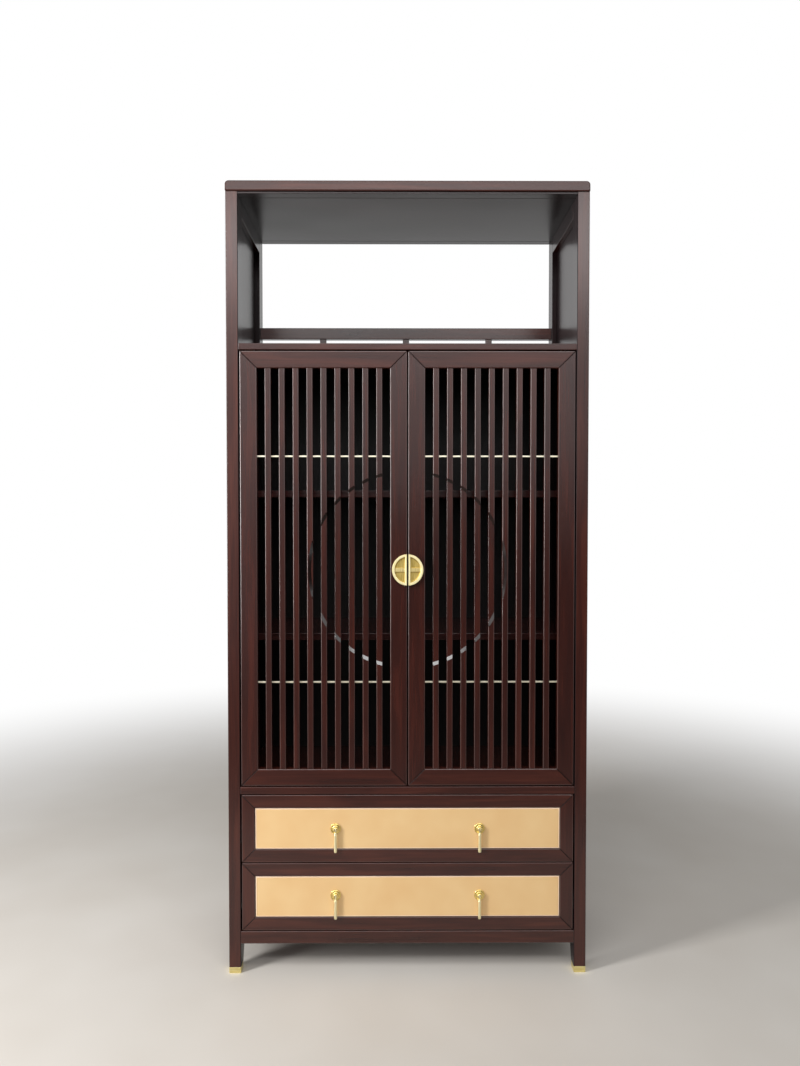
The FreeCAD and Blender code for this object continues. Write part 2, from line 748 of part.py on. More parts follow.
def build_pull(name, at, sign):
    """Half of a round brass dish, raised at its rim and crossed by a finger bar."""
    middle = signed(sign, "(door_width + door_meeting_gap / 2)")
    edge = "(door_meeting_gap / 2 + pull_edge_gap)"
    pull = new_body(name, at)
    centre = (middle, "-pull_height", "door_height / 2")
    dish = "(pull_radius - pull_rim_width)"
    rod(pull, "Additive", "disc", "y", "pull_radius", "pull_height", centre)
    rod(pull, "Subtractive", "dish", "y", dish, "pull_recess_depth", centre)
    block(pull, "Additive", "straight_wall",
          (edge + " + pull_edge_width", "pull_recess_depth", "2 * " + dish),
          (middle + (" - (%s + pull_edge_width)" % edge if sign > 0 else ""), "-pull_height",
           "door_height / 2 - " + dish))
    block(pull, "Additive", "finger_bar",
          (dish + " + pull_rim_width / 2", "pull_recess_depth - pull_bar_drop", "pull_bar_height"),
          (middle + (" - (%s + pull_rim_width / 2)" % dish if sign > 0 else ""),
           "-pull_height + pull_bar_drop", "door_height / 2 - pull_bar_height / 2"))
    trim = "(pull_radius + overrun)"
    block(pull, "Subtractive", "straight_edge",
          ("%s + %s" % (trim, edge), "pull_height + 2 * overrun", "2 * " + trim),
          (middle + (" - " + edge if sign > 0 else " - " + trim), "-pull_height - overrun",
           "door_height / 2 - " + trim))
    ease(pull, "Chamfer", "bevelled_rim", "pull_bevel", on_front)
    return pull


def build_door(side_name, side):
    prefix = "door_" + side_name
    sign = -side
    at = (signed(side, "inner_half - door_side_gap"), "front", "floor_top + door_end_gap")
    stiles, rails = build_mitred_frame(prefix, at, sign, "door_width", "door_height",
                                       "door_member_width", "door_thickness")
    for stile, start in zip(stiles, ("door_member_width - rod_grip",
                                     "door_width - door_member_width - overrun")):
        for name, drop in ROD_HEIGHTS:
            square_hole(stile, "rod_hole_" + name, sign, start, "rod_grip + overrun", drop)
    for rail, bottom in zip(rails, ("-overrun", "door_height - shank_length")):
        square_bar(rail, "Subtractive", "shank_mortise", signed(sign, "pivot_inset"),
                   "shank_side", "shank_length + overrun", bottom)
    group(prefix + "_stiles", stiles)
    group(prefix + "_rails", rails)
    keep(build_slats(prefix, at, sign))
    group(prefix + "_tie_rods", build_tie_rods(prefix, at, sign))
    group(prefix + "_pivot_pins", [build_pivot_pin(prefix + "_pin_lower", at, sign, -1),
                                   build_pivot_pin(prefix + "_pin_upper", at, sign, 1)])
    keep(build_pull(prefix + "_pull", at, sign))
    strike = new_body(prefix + "_strike_plate", at)
    block(strike, "Additive", "plate", ("catch_length", "strike_thickness", "strike_height"),
          (low(sign, "door_width + door_meeting_gap / 2 - catch_offset - catch_length / 2",
               "catch_length"),
           "door_thickness", "door_height - strike_drop - strike_height"))
    keep(strike)


for side_name, side in SIDES:
    build_door(side_name, side)


# Square bushes for the pivot pins, and the magnetic catches, all fixed to the carcass.

bushes = []
for side_name, side in SIDES:
    for name, face, up in (("lower", "floor_top", 1), ("upper", "display_bottom", -1)):
        bush = new_body("pivot_bush_%s_%s" % (name, side_name),
                        (signed(side, "inner_half - door_side_gap - pivot_inset"),
                         "front + pivot_setback", face))
        block(bush, "Additive", "body", ("bush_side", "bush_side", "bush_depth"),
              ("-bush_side / 2", "-bush_side / 2", low(-up, "0", "bush_depth")))
        bore_depth = "(pin_reach + fit_clearance + overrun)"
        rod(bush, "Subtractive", "bore", "z", "pin_radius + turning_clearance", bore_depth,
            ("0", "0", low(-up, "-overrun", bore_depth)))
        bushes.append(bush)
group("pivot_bushes", bushes)

catches = []
for side_name, side in SIDES:
    catch = new_body("door_catch_" + side_name,
                     ("0", "front + door_thickness + strike_thickness + catch_air_gap",
                      "display_bottom - catch_height"))
    block(catch, "Additive", "case", ("catch_length", "catch_depth", "catch_height"),
          (signed(side, "catch_offset") + " - catch_length / 2", "0", "0"))
    catches.append(catch)
group("door_catches", catches)


# Drawer slides: the outer channel is fixed to the carcass, the inner one to the drawer, and the
# middle one runs between them. Across is measured inwards from the posts' inner faces.

def channel(name, at, side, start, depth, height, web_inside):
    """A C-shaped channel, open towards the middle of the cabinet or away from it."""
    finish = "(%s + %s)" % (start, depth)
    low_web = "-%s / 2" % height
    high_web = "%s / 2" % height
    if web_inside:
        near_edge, far_edge = finish, start
        skin = "(%s - slide_sheet)" % finish
    else:
        near_edge, far_edge = start, finish
        skin = "(%s + slide_sheet)" % start
    corners = ((near_edge, low_web), (far_edge, low_web), (far_edge, low_web + " + slide_sheet"),
               (skin, low_web + " + slide_sheet"), (skin, high_web + " - slide_sheet"),
               (far_edge, high_web + " - slide_sheet"), (far_edge, high_web), (near_edge, high_web))
    bar = new_body(name, at)
    points = tuple((signed(-side, across), up) for across, up in corners)
    prism(bar, "channel", "XZ_Plane", points, "0", "slide_length")
    return bar


def build_slide(name, side_name, side, middle):
    at = (signed(side, "inner_half"), "front + slide_start", middle)
    step = "(slide_sheet + slide_gap)"
    outer = channel("%s_outer_channel_%s" % (name, side_name), at, side, "0",
                    "(slide_thickness - slide_gap)", "(slide_height)", False)
    inside = channel("%s_middle_channel_%s" % (name, side_name), at, side, step,
                     "(slide_thickness - %s - slide_sheet)" % step, "(middle_height)", False)
    inner = channel("%s_inner_channel_%s" % (name, side_name), at, side, "(2 * %s)" % step,
                    "(slide_thickness - 2 * %s)" % step, "(inner_height)", True)
    batten = new_body("%s_batten_%s" % (name, side_name),
                      (signed(side, "inner_half"), "front + post_depth",
                       middle + " - slide_height / 2"))
    block(batten, "Additive", "bar", ("panel_recess", "post_gap", "slide_height"),
          (low(side, "0", "panel_recess"), "0", "0"))
    return outer, inside, inner, batten


# Drawers. The frame is centred on x = 0, with its lower edge at z = 0 and its face at y = 0.

def build_box(name, at):
    """Two sides, two ends and a bottom held in grooves all round."""
    inside = "(box_half - box_wall)"
    groove_bottom = "box_lift + box_bottom_lift"
    start = "drawer_front_thickness"
    sides = []
    for side_name, side in SIDES:
        wall = new_body("%s_box_side_%s" % (name, side_name), at)
        block(wall, "Additive", "board", ("box_wall", "box_length", "box_height"),
              (low(side, inside, "box_wall"), start, "box_lift"))
        groove = ("box_groove_depth + overrun", "box_length - 2 * box_wall + 2 * box_groove_depth",
                  "box_bottom_thickness + fit_clearance")
        block(wall, "Subtractive", "bottom_groove", groove,
              (low(side, inside + " - overrun", groove[0]), start + " + box_wall - box_groove_depth",
               groove_bottom))
        sides.append(wall)
    group(name + "_box_sides", sides)
    ends = []
    for end_name, end in ENDS:
        wall = new_body("%s_box_%s" % (name, end_name), at)
        low_y = start if end > 0 else start + " + box_length - box_wall"
        block(wall, "Additive", "board", ("2 * " + inside, "box_wall", "box_height"),
              ("-" + inside, low_y, "box_lift"))
        groove = ("2 * %s + 2 * overrun" % inside, "box_groove_depth + overrun",
                  "box_bottom_thickness + fit_clearance")
        groove_y = (start + " + box_wall - box_groove_depth" if end > 0
                    else start + " + box_length - box_wall - overrun")
        block(wall, "Subtractive", "bottom_groove", groove,
              ("-%s - overrun" % inside, groove_y, groove_bottom))
        ends.append(wall)
    group(name + "_box_ends", ends)
    grip = "(box_groove_depth - fit_clearance)"
    bottom = new_body(name + "_box_bottom", at)
    block(bottom, "Additive", "board",
          ("2 * %s + 2 * %s" % (inside, grip), "box_length - 2 * box_wall + 2 * " + grip,
           "box_bottom_thickness"),
          ("-%s - %s" % (inside, grip), start + " + box_wall - " + grip, groove_bottom))
    keep(bottom)


def build_rosette(name, at, side, height):
    """A bevelled disc with a slotted boss, and the pin across the slot."""
    across = signed(side, "rosette_spacing / 2")
    rosette = new_body(name, at)
    rod(rosette, "Additive", "disc", "y", "rosette_radius", "rosette_thickness",
        (across, "rosette_face", height))
    ease(rosette, "Chamfer", "bevel", "rosette_edge", on_front)
    rod(rosette, "Additive", "boss", "y", "boss_radius",
        "rosette_face - boss_face + rosette_thickness / 2", (across, "boss_face", height))
    rod(rosette, "Subtractive", "eye", "y", "boss_bore_radius", "boss_bore_depth + overrun",
        (across, "boss_face - overrun", height))
    block(rosette, "Subtractive", "slot",
          ("slot_width", "hinge_lift + slot_top + overrun", "boss_radius + overrun + slot_top"),
          (across + " - slot_width / 2", "boss_face - overrun", height + " - boss_radius - overrun"))
    rod(rosette, "Additive", "hinge_pin", "x", "hinge_pin_radius", "slot_width + hinge_pin_radius",
        (across + " - (slot_width + hinge_pin_radius) / 2", "hinge_pin_y", height))
    return rosette


def build_drop(name, at, side, height):
    """A turned bar with a thicker end, hanging from a drilled tongue on the rosette's pin."""
    across = signed(side, "rosette_spacing / 2")
    drop = new_body(name, at)
    rod(drop, "Additive", "end", "z", "drop_end_radius", "drop_end_length",
        (across, "hinge_pin_y", height + " - drop_length"))
    ease(drop, "Chamfer", "bevelled_end", "drop_end_bevel", lower_rim)
    rod(drop, "Additive", "bar", "z", "drop_bar_radius", "drop_length - drop_shoulder - drop_end_bevel",
        (across, "hinge_pin_y", height + " - drop_length + drop_end_bevel"))
    rod(drop, "Additive", "tongue_eye", "x", "tongue_radius", "tongue_thickness",
        (across + " - tongue_thickness / 2", "hinge_pin_y", height))
    block(drop, "Additive", "tongue",
          ("tongue_thickness", "2 * tongue_radius", "drop_shoulder + drop_end_bevel"),
          (across + " - tongue_thickness / 2", "hinge_pin_y - tongue_radius",
           height + " - drop_shoulder - drop_end_bevel"))
    rod(drop, "Subtractive", "pin_hole", "x", "hinge_pin_radius + turning_clearance",
        "tongue_thickness + 2 * overrun",
        (across + " - tongue_thickness / 2 - overrun", "hinge_pin_y", height))
    return keep(drop)


def build_drawer(name, bottom, hinge_height):
    prefix = "drawer_" + name
    at = ("0", "front", bottom)
    corner = ("-drawer_width / 2", "front", bottom)
    stiles, rails = build_mitred_frame(prefix, corner, 1, "drawer_width", "drawer_front_height",
                                       "drawer_member_width", "drawer_front_thickness")
    group(prefix + "_front_frame", stiles + rails)
    panel = new_body(prefix + "_leather_panel", at)
    block(panel, "Additive", "pad",
          ("panel_width", "drawer_front_thickness - leather_setback", "panel_height"),
          ("-panel_width / 2", "leather_setback", "drawer_member_width + leather_gap"))
    ease(panel, "Fillet", "rounded_face", "leather_round", on_front)
    keep(panel)
    build_box(prefix, at)
    group(prefix + "_rosettes", [build_rosette("%s_rosette_%s" % (prefix, side_name), at, side,
                                               hinge_height) for side_name, side in SIDES])
    for side_name, side in SIDES:
        build_drop("drop_pull_%s_%s" % (name, side_name), at, side, hinge_height)
    slides = [build_slide(prefix, side_name, side, bottom + " + slide_lift")
              for side_name, side in SIDES]
    outer, middle, inner, battens = zip(*slides)
    group(prefix + "_slide_inner", list(inner))
    group(prefix + "_slide_middle", list(middle))
    return list(outer), list(battens)


outer_channels = []
battens = []
for name, bottom, hinge_height in (
        ("lower", "lower_drawer_bottom", "drawer_front_height / 2 + lower_rosette_rise"),
        ("upper", "upper_drawer_bottom", "drawer_front_height / 2")):
    outer, batten_pair = build_drawer(name, bottom, hinge_height)
    outer_channels += outer
    battens += batten_pair
group("slide_outer_channels", outer_channels)
group("slide_battens", battens)


# Recompute, check and export

doc.recompute()
failed = [item.Name for item in doc.Objects if "Invalid" in item.State or "Error" in item.State]
if failed:
    raise RuntimeError("features failed: " + ", ".join(failed))
for part in sub_parts:
    if part.Shape.isNull() or not part.Shape.isValid():
        raise RuntimeError("bad shape: " + part.Label)

os.makedirs("parts", exist_ok=True)
for part in sub_parts:
    part.Shape.exportStep("parts/%s.step" % part.Label)
    print("%-34s %2d solids %12.1f mm3" % (part.Label, len(part.Shape.Solids), part.Shape.Volume))
print(len(sub_parts), "sub-parts")
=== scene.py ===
import json
import math
import bmesh
import bpy
from mathutils import Matrix, Vector


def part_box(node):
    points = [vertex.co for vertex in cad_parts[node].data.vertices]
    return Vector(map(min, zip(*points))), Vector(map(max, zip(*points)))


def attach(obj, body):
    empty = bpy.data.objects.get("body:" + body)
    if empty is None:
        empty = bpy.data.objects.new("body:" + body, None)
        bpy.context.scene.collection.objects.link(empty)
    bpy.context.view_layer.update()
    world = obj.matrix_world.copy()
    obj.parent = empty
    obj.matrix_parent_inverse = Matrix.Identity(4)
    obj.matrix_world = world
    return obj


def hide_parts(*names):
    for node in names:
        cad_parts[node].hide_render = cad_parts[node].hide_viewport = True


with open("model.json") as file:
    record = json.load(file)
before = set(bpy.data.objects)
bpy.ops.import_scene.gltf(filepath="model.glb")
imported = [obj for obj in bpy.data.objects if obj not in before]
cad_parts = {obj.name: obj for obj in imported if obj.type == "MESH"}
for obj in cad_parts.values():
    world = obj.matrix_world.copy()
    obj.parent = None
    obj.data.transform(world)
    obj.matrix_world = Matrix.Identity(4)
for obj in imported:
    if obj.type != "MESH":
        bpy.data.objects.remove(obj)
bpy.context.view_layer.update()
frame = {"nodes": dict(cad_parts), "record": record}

# The camera stands where the photograph was taken, at eye height and a little left of the middle.
# Its lens and turn were fitted to the edges of the doors, the drawers and the top board.
CAMERA_PLACE = (-0.0303, -2.2117, 1.1626)
CAMERA_TILT = math.radians(88.547)
CAMERA_SWING = math.radians(-0.315)
CAMERA_LENS = 27.48
camera_data = bpy.data.cameras.new("camera")
camera_data.lens = CAMERA_LENS
camera = bpy.data.objects.new("camera", camera_data)
camera.location = CAMERA_PLACE
camera.rotation_euler = (CAMERA_TILT, 0, CAMERA_SWING)
bpy.context.scene.collection.objects.link(camera)
bpy.context.scene.camera = camera
bpy.context.scene.view_settings.view_transform = "Standard"

# The floor is a disc in pale matt paint, rolled on, so it is faintly cloudy and hardly gleams. It
# fades to the white of the background away from the cabinet. In reflections it fades farther out,
# and in front of the cabinet its colour is a painted shade, dark, which only reflections show.
MM = 0.001
FLOOR_PALE = "#CCC7C0"
FLOOR_WORN = "#C6C0B8"
FLOOR_PAINTED_SHADE = "#4E4A46"
FLOOR_ROUGHNESS = 0.75
FLOOR_RADIUS = 12.0
FLOOR_STEPS = 96
CLOUD_WIDTH = 350 * MM
CLOUD_DETAIL = 2.0
FADE_START = 1.2
FADE_END = 3.6
MIRROR_FADE_START = 3.5
MIRROR_FADE_END = 6.5
PAINTED_SHADE_START = 0.9
PAINTED_SHADE_END = 1.6
WHITE = "#FFFFFF"
WHITE_LEVEL = 1.0
# Most of a noise lies between these values, so a pattern's two colours stand there.
NOISE_ENDS = (0.3, 0.7)


def linear(hex_colour):
    """An sRGB hex colour as linear red, green, blue and alpha."""
    parts = [int(hex_colour[place:place + 2], 16) / 255 for place in (1, 3, 5)]
    return [part / 12.92 if part <= 0.04045 else ((part + 0.055) / 1.055) ** 2.4
            for part in parts] + [1.0]


def add_node(tree, kind, values=None, links=None, stops=(), **settings):
    """Adds a shader node with its settings, input values, incoming links and a ramp's stops.

    The stops are (place, hex colour) pairs."""
    node = tree.nodes.new("ShaderNode" + kind)
    for name, value in settings.items():
        setattr(node, name, value)
    for name, value in (values or {}).items():
        node.inputs[name].default_value = value
    for name, source in (links or {}).items():
        tree.links.new(source, node.inputs[name])
    for number, (place, colour) in enumerate(stops):
        ramp = node.color_ramp.elements
        element = ramp[number] if number < len(ramp) else ramp.new(place)
        element.position = place
        element.color = linear(colour)
    return node


def start_material(name, values):
    """A material whose Principled shader carries the given constant values."""
    material = bpy.data.materials.new(name)
    material.use_nodes = True
    tree = material.node_tree
    shader = tree.nodes["Principled BSDF"]
    for socket, value in values.items():
        shader.inputs[socket].default_value = value
    return material, tree, shader


floor_paint, tree, shader = start_material("floor_matt_paint", {"Roughness": FLOOR_ROUGHNESS})
place = add_node(tree, "TexCoord").outputs["Object"]
cloud = add_node(tree, "TexNoise", {"Scale": 1 / CLOUD_WIDTH, "Detail": CLOUD_DETAIL},
                 {"Vector": place})
tone = add_node(tree, "ValToRGB", links={"Fac": cloud.outputs["Fac"]},
                stops=zip(NOISE_ENDS, (FLOOR_WORN, FLOOR_PALE))).outputs["Color"]
path = add_node(tree, "LightPath").outputs
front = add_node(tree, "SeparateXYZ", links={"Vector": place}).outputs["Y"]
# Painted shade: for every ray but the camera's, the floor's colour turns dark in front of the cabinet.
painted_shade = add_node(tree, "MapRange", {"From Min": -PAINTED_SHADE_START, "From Max": -PAINTED_SHADE_END}, {"Value": front},
               interpolation_type="SMOOTHSTEP").outputs["Result"]
hidden = add_node(tree, "Math", {0: 1.0}, {1: path["Is Camera Ray"]}, operation="SUBTRACT").outputs[0]
painted_shade = add_node(tree, "Math", links={0: painted_shade, 1: hidden}, operation="MULTIPLY").outputs[0]
tone = add_node(tree, "MixRGB", {"Color2": linear(FLOOR_PAINTED_SHADE)}, {"Fac": painted_shade, "Color1": tone})
tree.links.new(tone.outputs["Color"], shader.inputs["Base Color"])
away = add_node(tree, "VectorMath", links={0: place}, operation="LENGTH").outputs["Value"]
fades = [add_node(tree, "MapRange", {"From Min": start, "From Max": end}, {"Value": away},
                  interpolation_type="SMOOTHSTEP").outputs["Result"]
         for start, end in ((FADE_START, FADE_END), (MIRROR_FADE_START, MIRROR_FADE_END))]
mirrored = add_node(tree, "Math", links={0: fades[1], 1: path["Is Glossy Ray"]},
                    operation="MULTIPLY").outputs[0]
fade = add_node(tree, "Math", links={0: fades[0], 1: path["Is Camera Ray"], 2: mirrored},
                operation="MULTIPLY_ADD").outputs[0]
white = add_node(tree, "Emission", {"Color": linear(WHITE), "Strength": WHITE_LEVEL})
mixed = add_node(tree, "MixShader", links={0: fade, 1: shader.outputs["BSDF"],
                                           2: white.outputs["Emission"]})
tree.links.new(mixed.outputs["Shader"], tree.nodes["Material Output"].inputs["Surface"])

shape = bmesh.new()
bmesh.ops.create_circle(shape, cap_ends=True, segments=FLOOR_STEPS, radius=FLOOR_RADIUS)
mesh = bpy.data.meshes.new("floor")
shape.to_mesh(mesh)
shape.free()
mesh.materials.append(floor_paint)
floor = bpy.data.objects.new("floor", mesh)
bpy.context.scene.collection.objects.link(floor)

# The light of a plain studio: an even surround, a wide soft box above the camera, one overhead
# and a tall one on the left like a window, which catches the edges that face it. Rays that see the
# surround directly, in a mirror or through glass, see it white.
SURROUND_LEVEL = 0.3
FRONT_BOX = {"place": (0, -2.7, 2.67), "aim": (0, 0, 1.1), "size": (4.0, 0.55), "power": 36}
TOP_BOX = {"place": (0, -1.9, 3.5), "aim": (0, -0.2, 0.8), "size": (2.5, 1.2), "power": 24}
LEFT_BOX = {"place": (-2.35, -1.45, 1.6), "aim": (0, -0.2, 1.2), "size": (0.5, 2.0), "power": 90}
world = bpy.data.worlds.new("studio")
bpy.context.scene.world = world
world.use_nodes = True
tree = world.node_tree
plain = tree.nodes["Background"]
plain.inputs["Color"].default_value = linear(WHITE)
plain.inputs["Strength"].default_value = SURROUND_LEVEL
shown = add_node(tree, "Background", {"Color": linear(WHITE), "Strength": WHITE_LEVEL})
path = add_node(tree, "LightPath").outputs
seen = add_node(tree, "Math", links={0: path["Is Camera Ray"], 1: path["Is Glossy Ray"]},
                operation="ADD").outputs[0]
seen = add_node(tree, "Math", links={0: seen, 1: path["Is Transmission Ray"]},
                operation="ADD", use_clamp=True).outputs[0]
mixed = add_node(tree, "MixShader", links={0: seen, 1: plain.outputs["Background"],
                                           2: shown.outputs["Background"]})
tree.links.new(mixed.outputs["Shader"], tree.nodes["World Output"].inputs["Surface"])
for number, box in enumerate((FRONT_BOX, TOP_BOX, LEFT_BOX), 1):
    lamp = bpy.data.lights.new("soft_box_%d" % number, "AREA")
    lamp.shape = "RECTANGLE"
    lamp.size, lamp.size_y = box["size"]
    lamp.energy = box["power"]
    holder = bpy.data.objects.new("soft_box_%d" % number, lamp)
    holder.location = box["place"]
    looks = Vector(box["aim"]) - Vector(box["place"])
    holder.rotation_euler = looks.to_track_quat("-Z", "Y").to_euler()
    bpy.context.scene.collection.objects.link(holder)

# Black flags, a studio's upright screens, stand on the floor behind the camera. They are a painted
# reflection: dark sheets that only mirrors show, so the lacquer mirrors darkness across the middle of
# the doors, and they shade nothing. Their pressed wool felt returns next to no light, and its nap is
# drawn far coarser than real.
FLAG_PALE = "#14110F"
FLAG_DEEP = "#0E0C0B"
FLAG_ROUGHNESS = 1.0
NAP_WIDTH = 20 * MM
NAP_DETAIL = 2.0
FLAG_HEIGHT = 1.33
FLAG_PLACE = -4.6
FLAG_SPANS = ((-6.2, -3.2), (-1.3, 6.2))
HALF_UNIT = 0.5
QUARTER_TURN = math.radians(90)
dark_reflection_felt, tree, shader = start_material("flag_felt_painted_dark_reflection", {"Roughness": FLAG_ROUGHNESS})
place = add_node(tree, "TexCoord").outputs["Object"]
nap = add_node(tree, "TexNoise", {"Scale": 1 / NAP_WIDTH, "Detail": NAP_DETAIL}, {"Vector": place})
tone = add_node(tree, "ValToRGB", links={"Fac": nap.outputs["Fac"]},
                stops=zip(NOISE_ENDS, (FLAG_DEEP, FLAG_PALE)))
tree.links.new(tone.outputs["Color"], shader.inputs["Base Color"])
shape = bmesh.new()
for left, right in FLAG_SPANS:
    middle = Matrix.Translation(((left + right) / 2, FLAG_PLACE, FLAG_HEIGHT / 2))
    stretch = Matrix.Diagonal((right - left, 1, FLAG_HEIGHT, 1))
    bmesh.ops.create_grid(shape, x_segments=1, y_segments=1, size=HALF_UNIT,
                          matrix=middle @ stretch @ Matrix.Rotation(QUARTER_TURN, 4, "X"))
mesh = bpy.data.meshes.new("flags")
shape.to_mesh(mesh)
shape.free()
mesh.materials.append(dark_reflection_felt)
flag = bpy.data.objects.new("flags", mesh)
flag.visible_camera = False
flag.visible_diffuse = False
flag.visible_shadow = False
bpy.context.scene.collection.objects.link(flag)

# Corner posts of dark hardwood, planed square and tapered below the rails. They are stained a deep
# red-brown and sprayed with clear gloss lacquer, and inside the cabinet they are painted nearly
# black, a painted shade. A chamfer along their top front edges leaves a V under the top board,
# painted dark as a painted shadow line.
nodes = frame["nodes"]
record = frame["record"]
REDWOOD_STAIN = ("#2D130F", "#391913", "#4A231A")
# Painted shade: the near-black colour of every face inside the cabinet.
INSIDE_PAINTED_SHADE = ("#181112", "#1F1516", "#281A1A")
# Dark stain of end grain and of the mitres' Vs; on the chamfer under the top board it is a painted
# shadow line.
END_GRAIN_STAIN_AND_PAINTED_SHADE = ("#160A08", "#1B0D0A", "#24120D")
STAIN_STOPS = (0.5, 0.75, 1.0)
LACQUER_IOR = 1.5
LACQUER_ROUGHNESS = 0.25
LACQUER_SHINE = 0.5
INSIDE_SHINE = 0.12
JOINT_ROUGHNESS = 0.5
JOINT_SHINE = 0.2
FIGURE_WIDTH = 22 * MM
FIGURE_STRETCH = 12
FIGURE_DETAIL = 3.0
FIGURE_TWIST = 0.6
STREAK_WIDTH = 3.5 * MM
STREAK_STRETCH = 45
STREAK_DETAIL = 4.0
STREAK_COARSENESS = 0.65
STREAK_SHARE = 0.5
BOARD_SHIFT = 3.7
PLANING_WIDTH = 160 * MM
PLANING_DETAIL = 0.0
PLANING_HEIGHT = 0.8 * MM
PLANING_STRENGTH = 1.0
PEEL_WIDTH = 14 * MM
PEEL_DETAIL = 1.0
PEEL_HEIGHT = 0.6 * MM
PEEL_STRENGTH = 0.12
PORE_HEIGHT = 0.1 * MM
PORE_STRENGTH = 0.15
WOOD_ROUND = 0.5 * MM
EASED_STEPS = 2
BOARD_REVEAL = 2 * MM
WELD = 0.002 * MM
FLAT = math.radians(0.5)
SHARP = math.radians(20)


def grain_scale(axes, width, stretch):
    """A Mapping's scale: one unit is a width across the grain and stretch widths along its axes."""
    return [1 / (width * stretch) if axis in axes else 1 / width for axis in "xyz"]


def lacquered_hardwood(name, axis, stain=REDWOOD_STAIN, roughness=LACQUER_ROUGHNESS,
                       shine=LACQUER_SHINE, turn=None):
    """Planed hardwood, stained and sprayed with clear lacquer, with its grain along an axis.

    A faint figure and dark streaks show under a wet-looking coat, and each board has its own. The
    coat mirrors softly, bent by the planed wood below it and by its own orange peel. The streaks
    and the peel are drawn several times coarser than real, so that they show."""
    material, tree, shader = start_material(name, {"IOR": LACQUER_IOR, "Roughness": roughness,
                                                   "Specular IOR Level": shine})
    place = add_node(tree, "TexCoord").outputs["Object"]
    if turn:
        place = turn(tree, place)
    board = add_node(tree, "NewGeometry").outputs["Random Per Island"]
    shift = add_node(tree, "Math", {1: BOARD_SHIFT}, {0: board}, operation="MULTIPLY").outputs[0]
    place = add_node(tree, "VectorMath", links={0: place, 1: shift}, operation="ADD").outputs["Vector"]
    along = add_node(tree, "Mapping", {"Scale": grain_scale(axis, FIGURE_WIDTH, FIGURE_STRETCH)},
                     {"Vector": place}).outputs["Vector"]
    figure = add_node(tree, "TexNoise", {"Scale": 1.0, "Detail": FIGURE_DETAIL,
                                         "Distortion": FIGURE_TWIST}, {"Vector": along})
    along = add_node(tree, "Mapping", {"Scale": grain_scale(axis, STREAK_WIDTH, STREAK_STRETCH)},
                     {"Vector": place}).outputs["Vector"]
    streaks = add_node(tree, "TexNoise", {"Scale": 1.0, "Detail": STREAK_DETAIL,
                                          "Roughness": STREAK_COARSENESS}, {"Vector": along})
    blend = add_node(tree, "Math", {1: STREAK_SHARE},
                     {0: streaks.outputs["Fac"], 2: figure.outputs["Fac"]}, operation="MULTIPLY_ADD")
    colour = add_node(tree, "ValToRGB", links={"Fac": blend.outputs["Value"]},
                      stops=zip(STAIN_STOPS, stain))
    tree.links.new(colour.outputs["Color"], shader.inputs["Base Color"])
    planed = add_node(tree, "TexNoise", {"Scale": 1 / PLANING_WIDTH, "Detail": PLANING_DETAIL},
                      {"Vector": place})
    wave = add_node(tree, "Bump", {"Strength": PLANING_STRENGTH, "Distance": PLANING_HEIGHT},
                    {"Height": planed.outputs["Fac"]})
    peel = add_node(tree, "TexNoise", {"Scale": 1 / PEEL_WIDTH, "Detail": PEEL_DETAIL},
                    {"Vector": place})
    ripple = add_node(tree, "Bump", {"Strength": PEEL_STRENGTH, "Distance": PEEL_HEIGHT},
                      {"Height": peel.outputs["Fac"], "Normal": wave.outputs["Normal"]})
    pores = add_node(tree, "Bump", {"Strength": PORE_STRENGTH, "Distance": PORE_HEIGHT},
                     {"Height": streaks.outputs["Fac"], "Normal": ripple.outputs["Normal"]})
    tree.links.new(pores.outputs["Normal"], shader.inputs["Normal"])
    return material


def stand_in(piece, node):
    """Makes a piece take the place and the body of a CAD node."""
    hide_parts(node)
    bodies = record["behaviour"]["bodies"]
    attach(piece, [body for body, members in bodies.items() if node in members][0])


def new_piece(name, shape, *materials, sharp=SHARP):
    """A smooth-shaded object from a finished bmesh, with hard edges kept hard."""
    mesh = bpy.data.meshes.new(name)
    shape.to_mesh(mesh)
    shape.free()
    mesh.shade_smooth()
    mesh.set_sharp_from_angle(angle=sharp)
    for material in materials:
        mesh.materials.append(material)
    piece = bpy.data.objects.new(name, mesh)
    bpy.context.scene.collection.objects.link(piece)
    return piece


def face_weighted(piece):
    """Lets the flat faces of a piece keep their own shading beside rounded edges."""
    weighting = piece.modifiers.new("face_weighted_normals", "WEIGHTED_NORMAL")
    weighting.keep_sharp = True


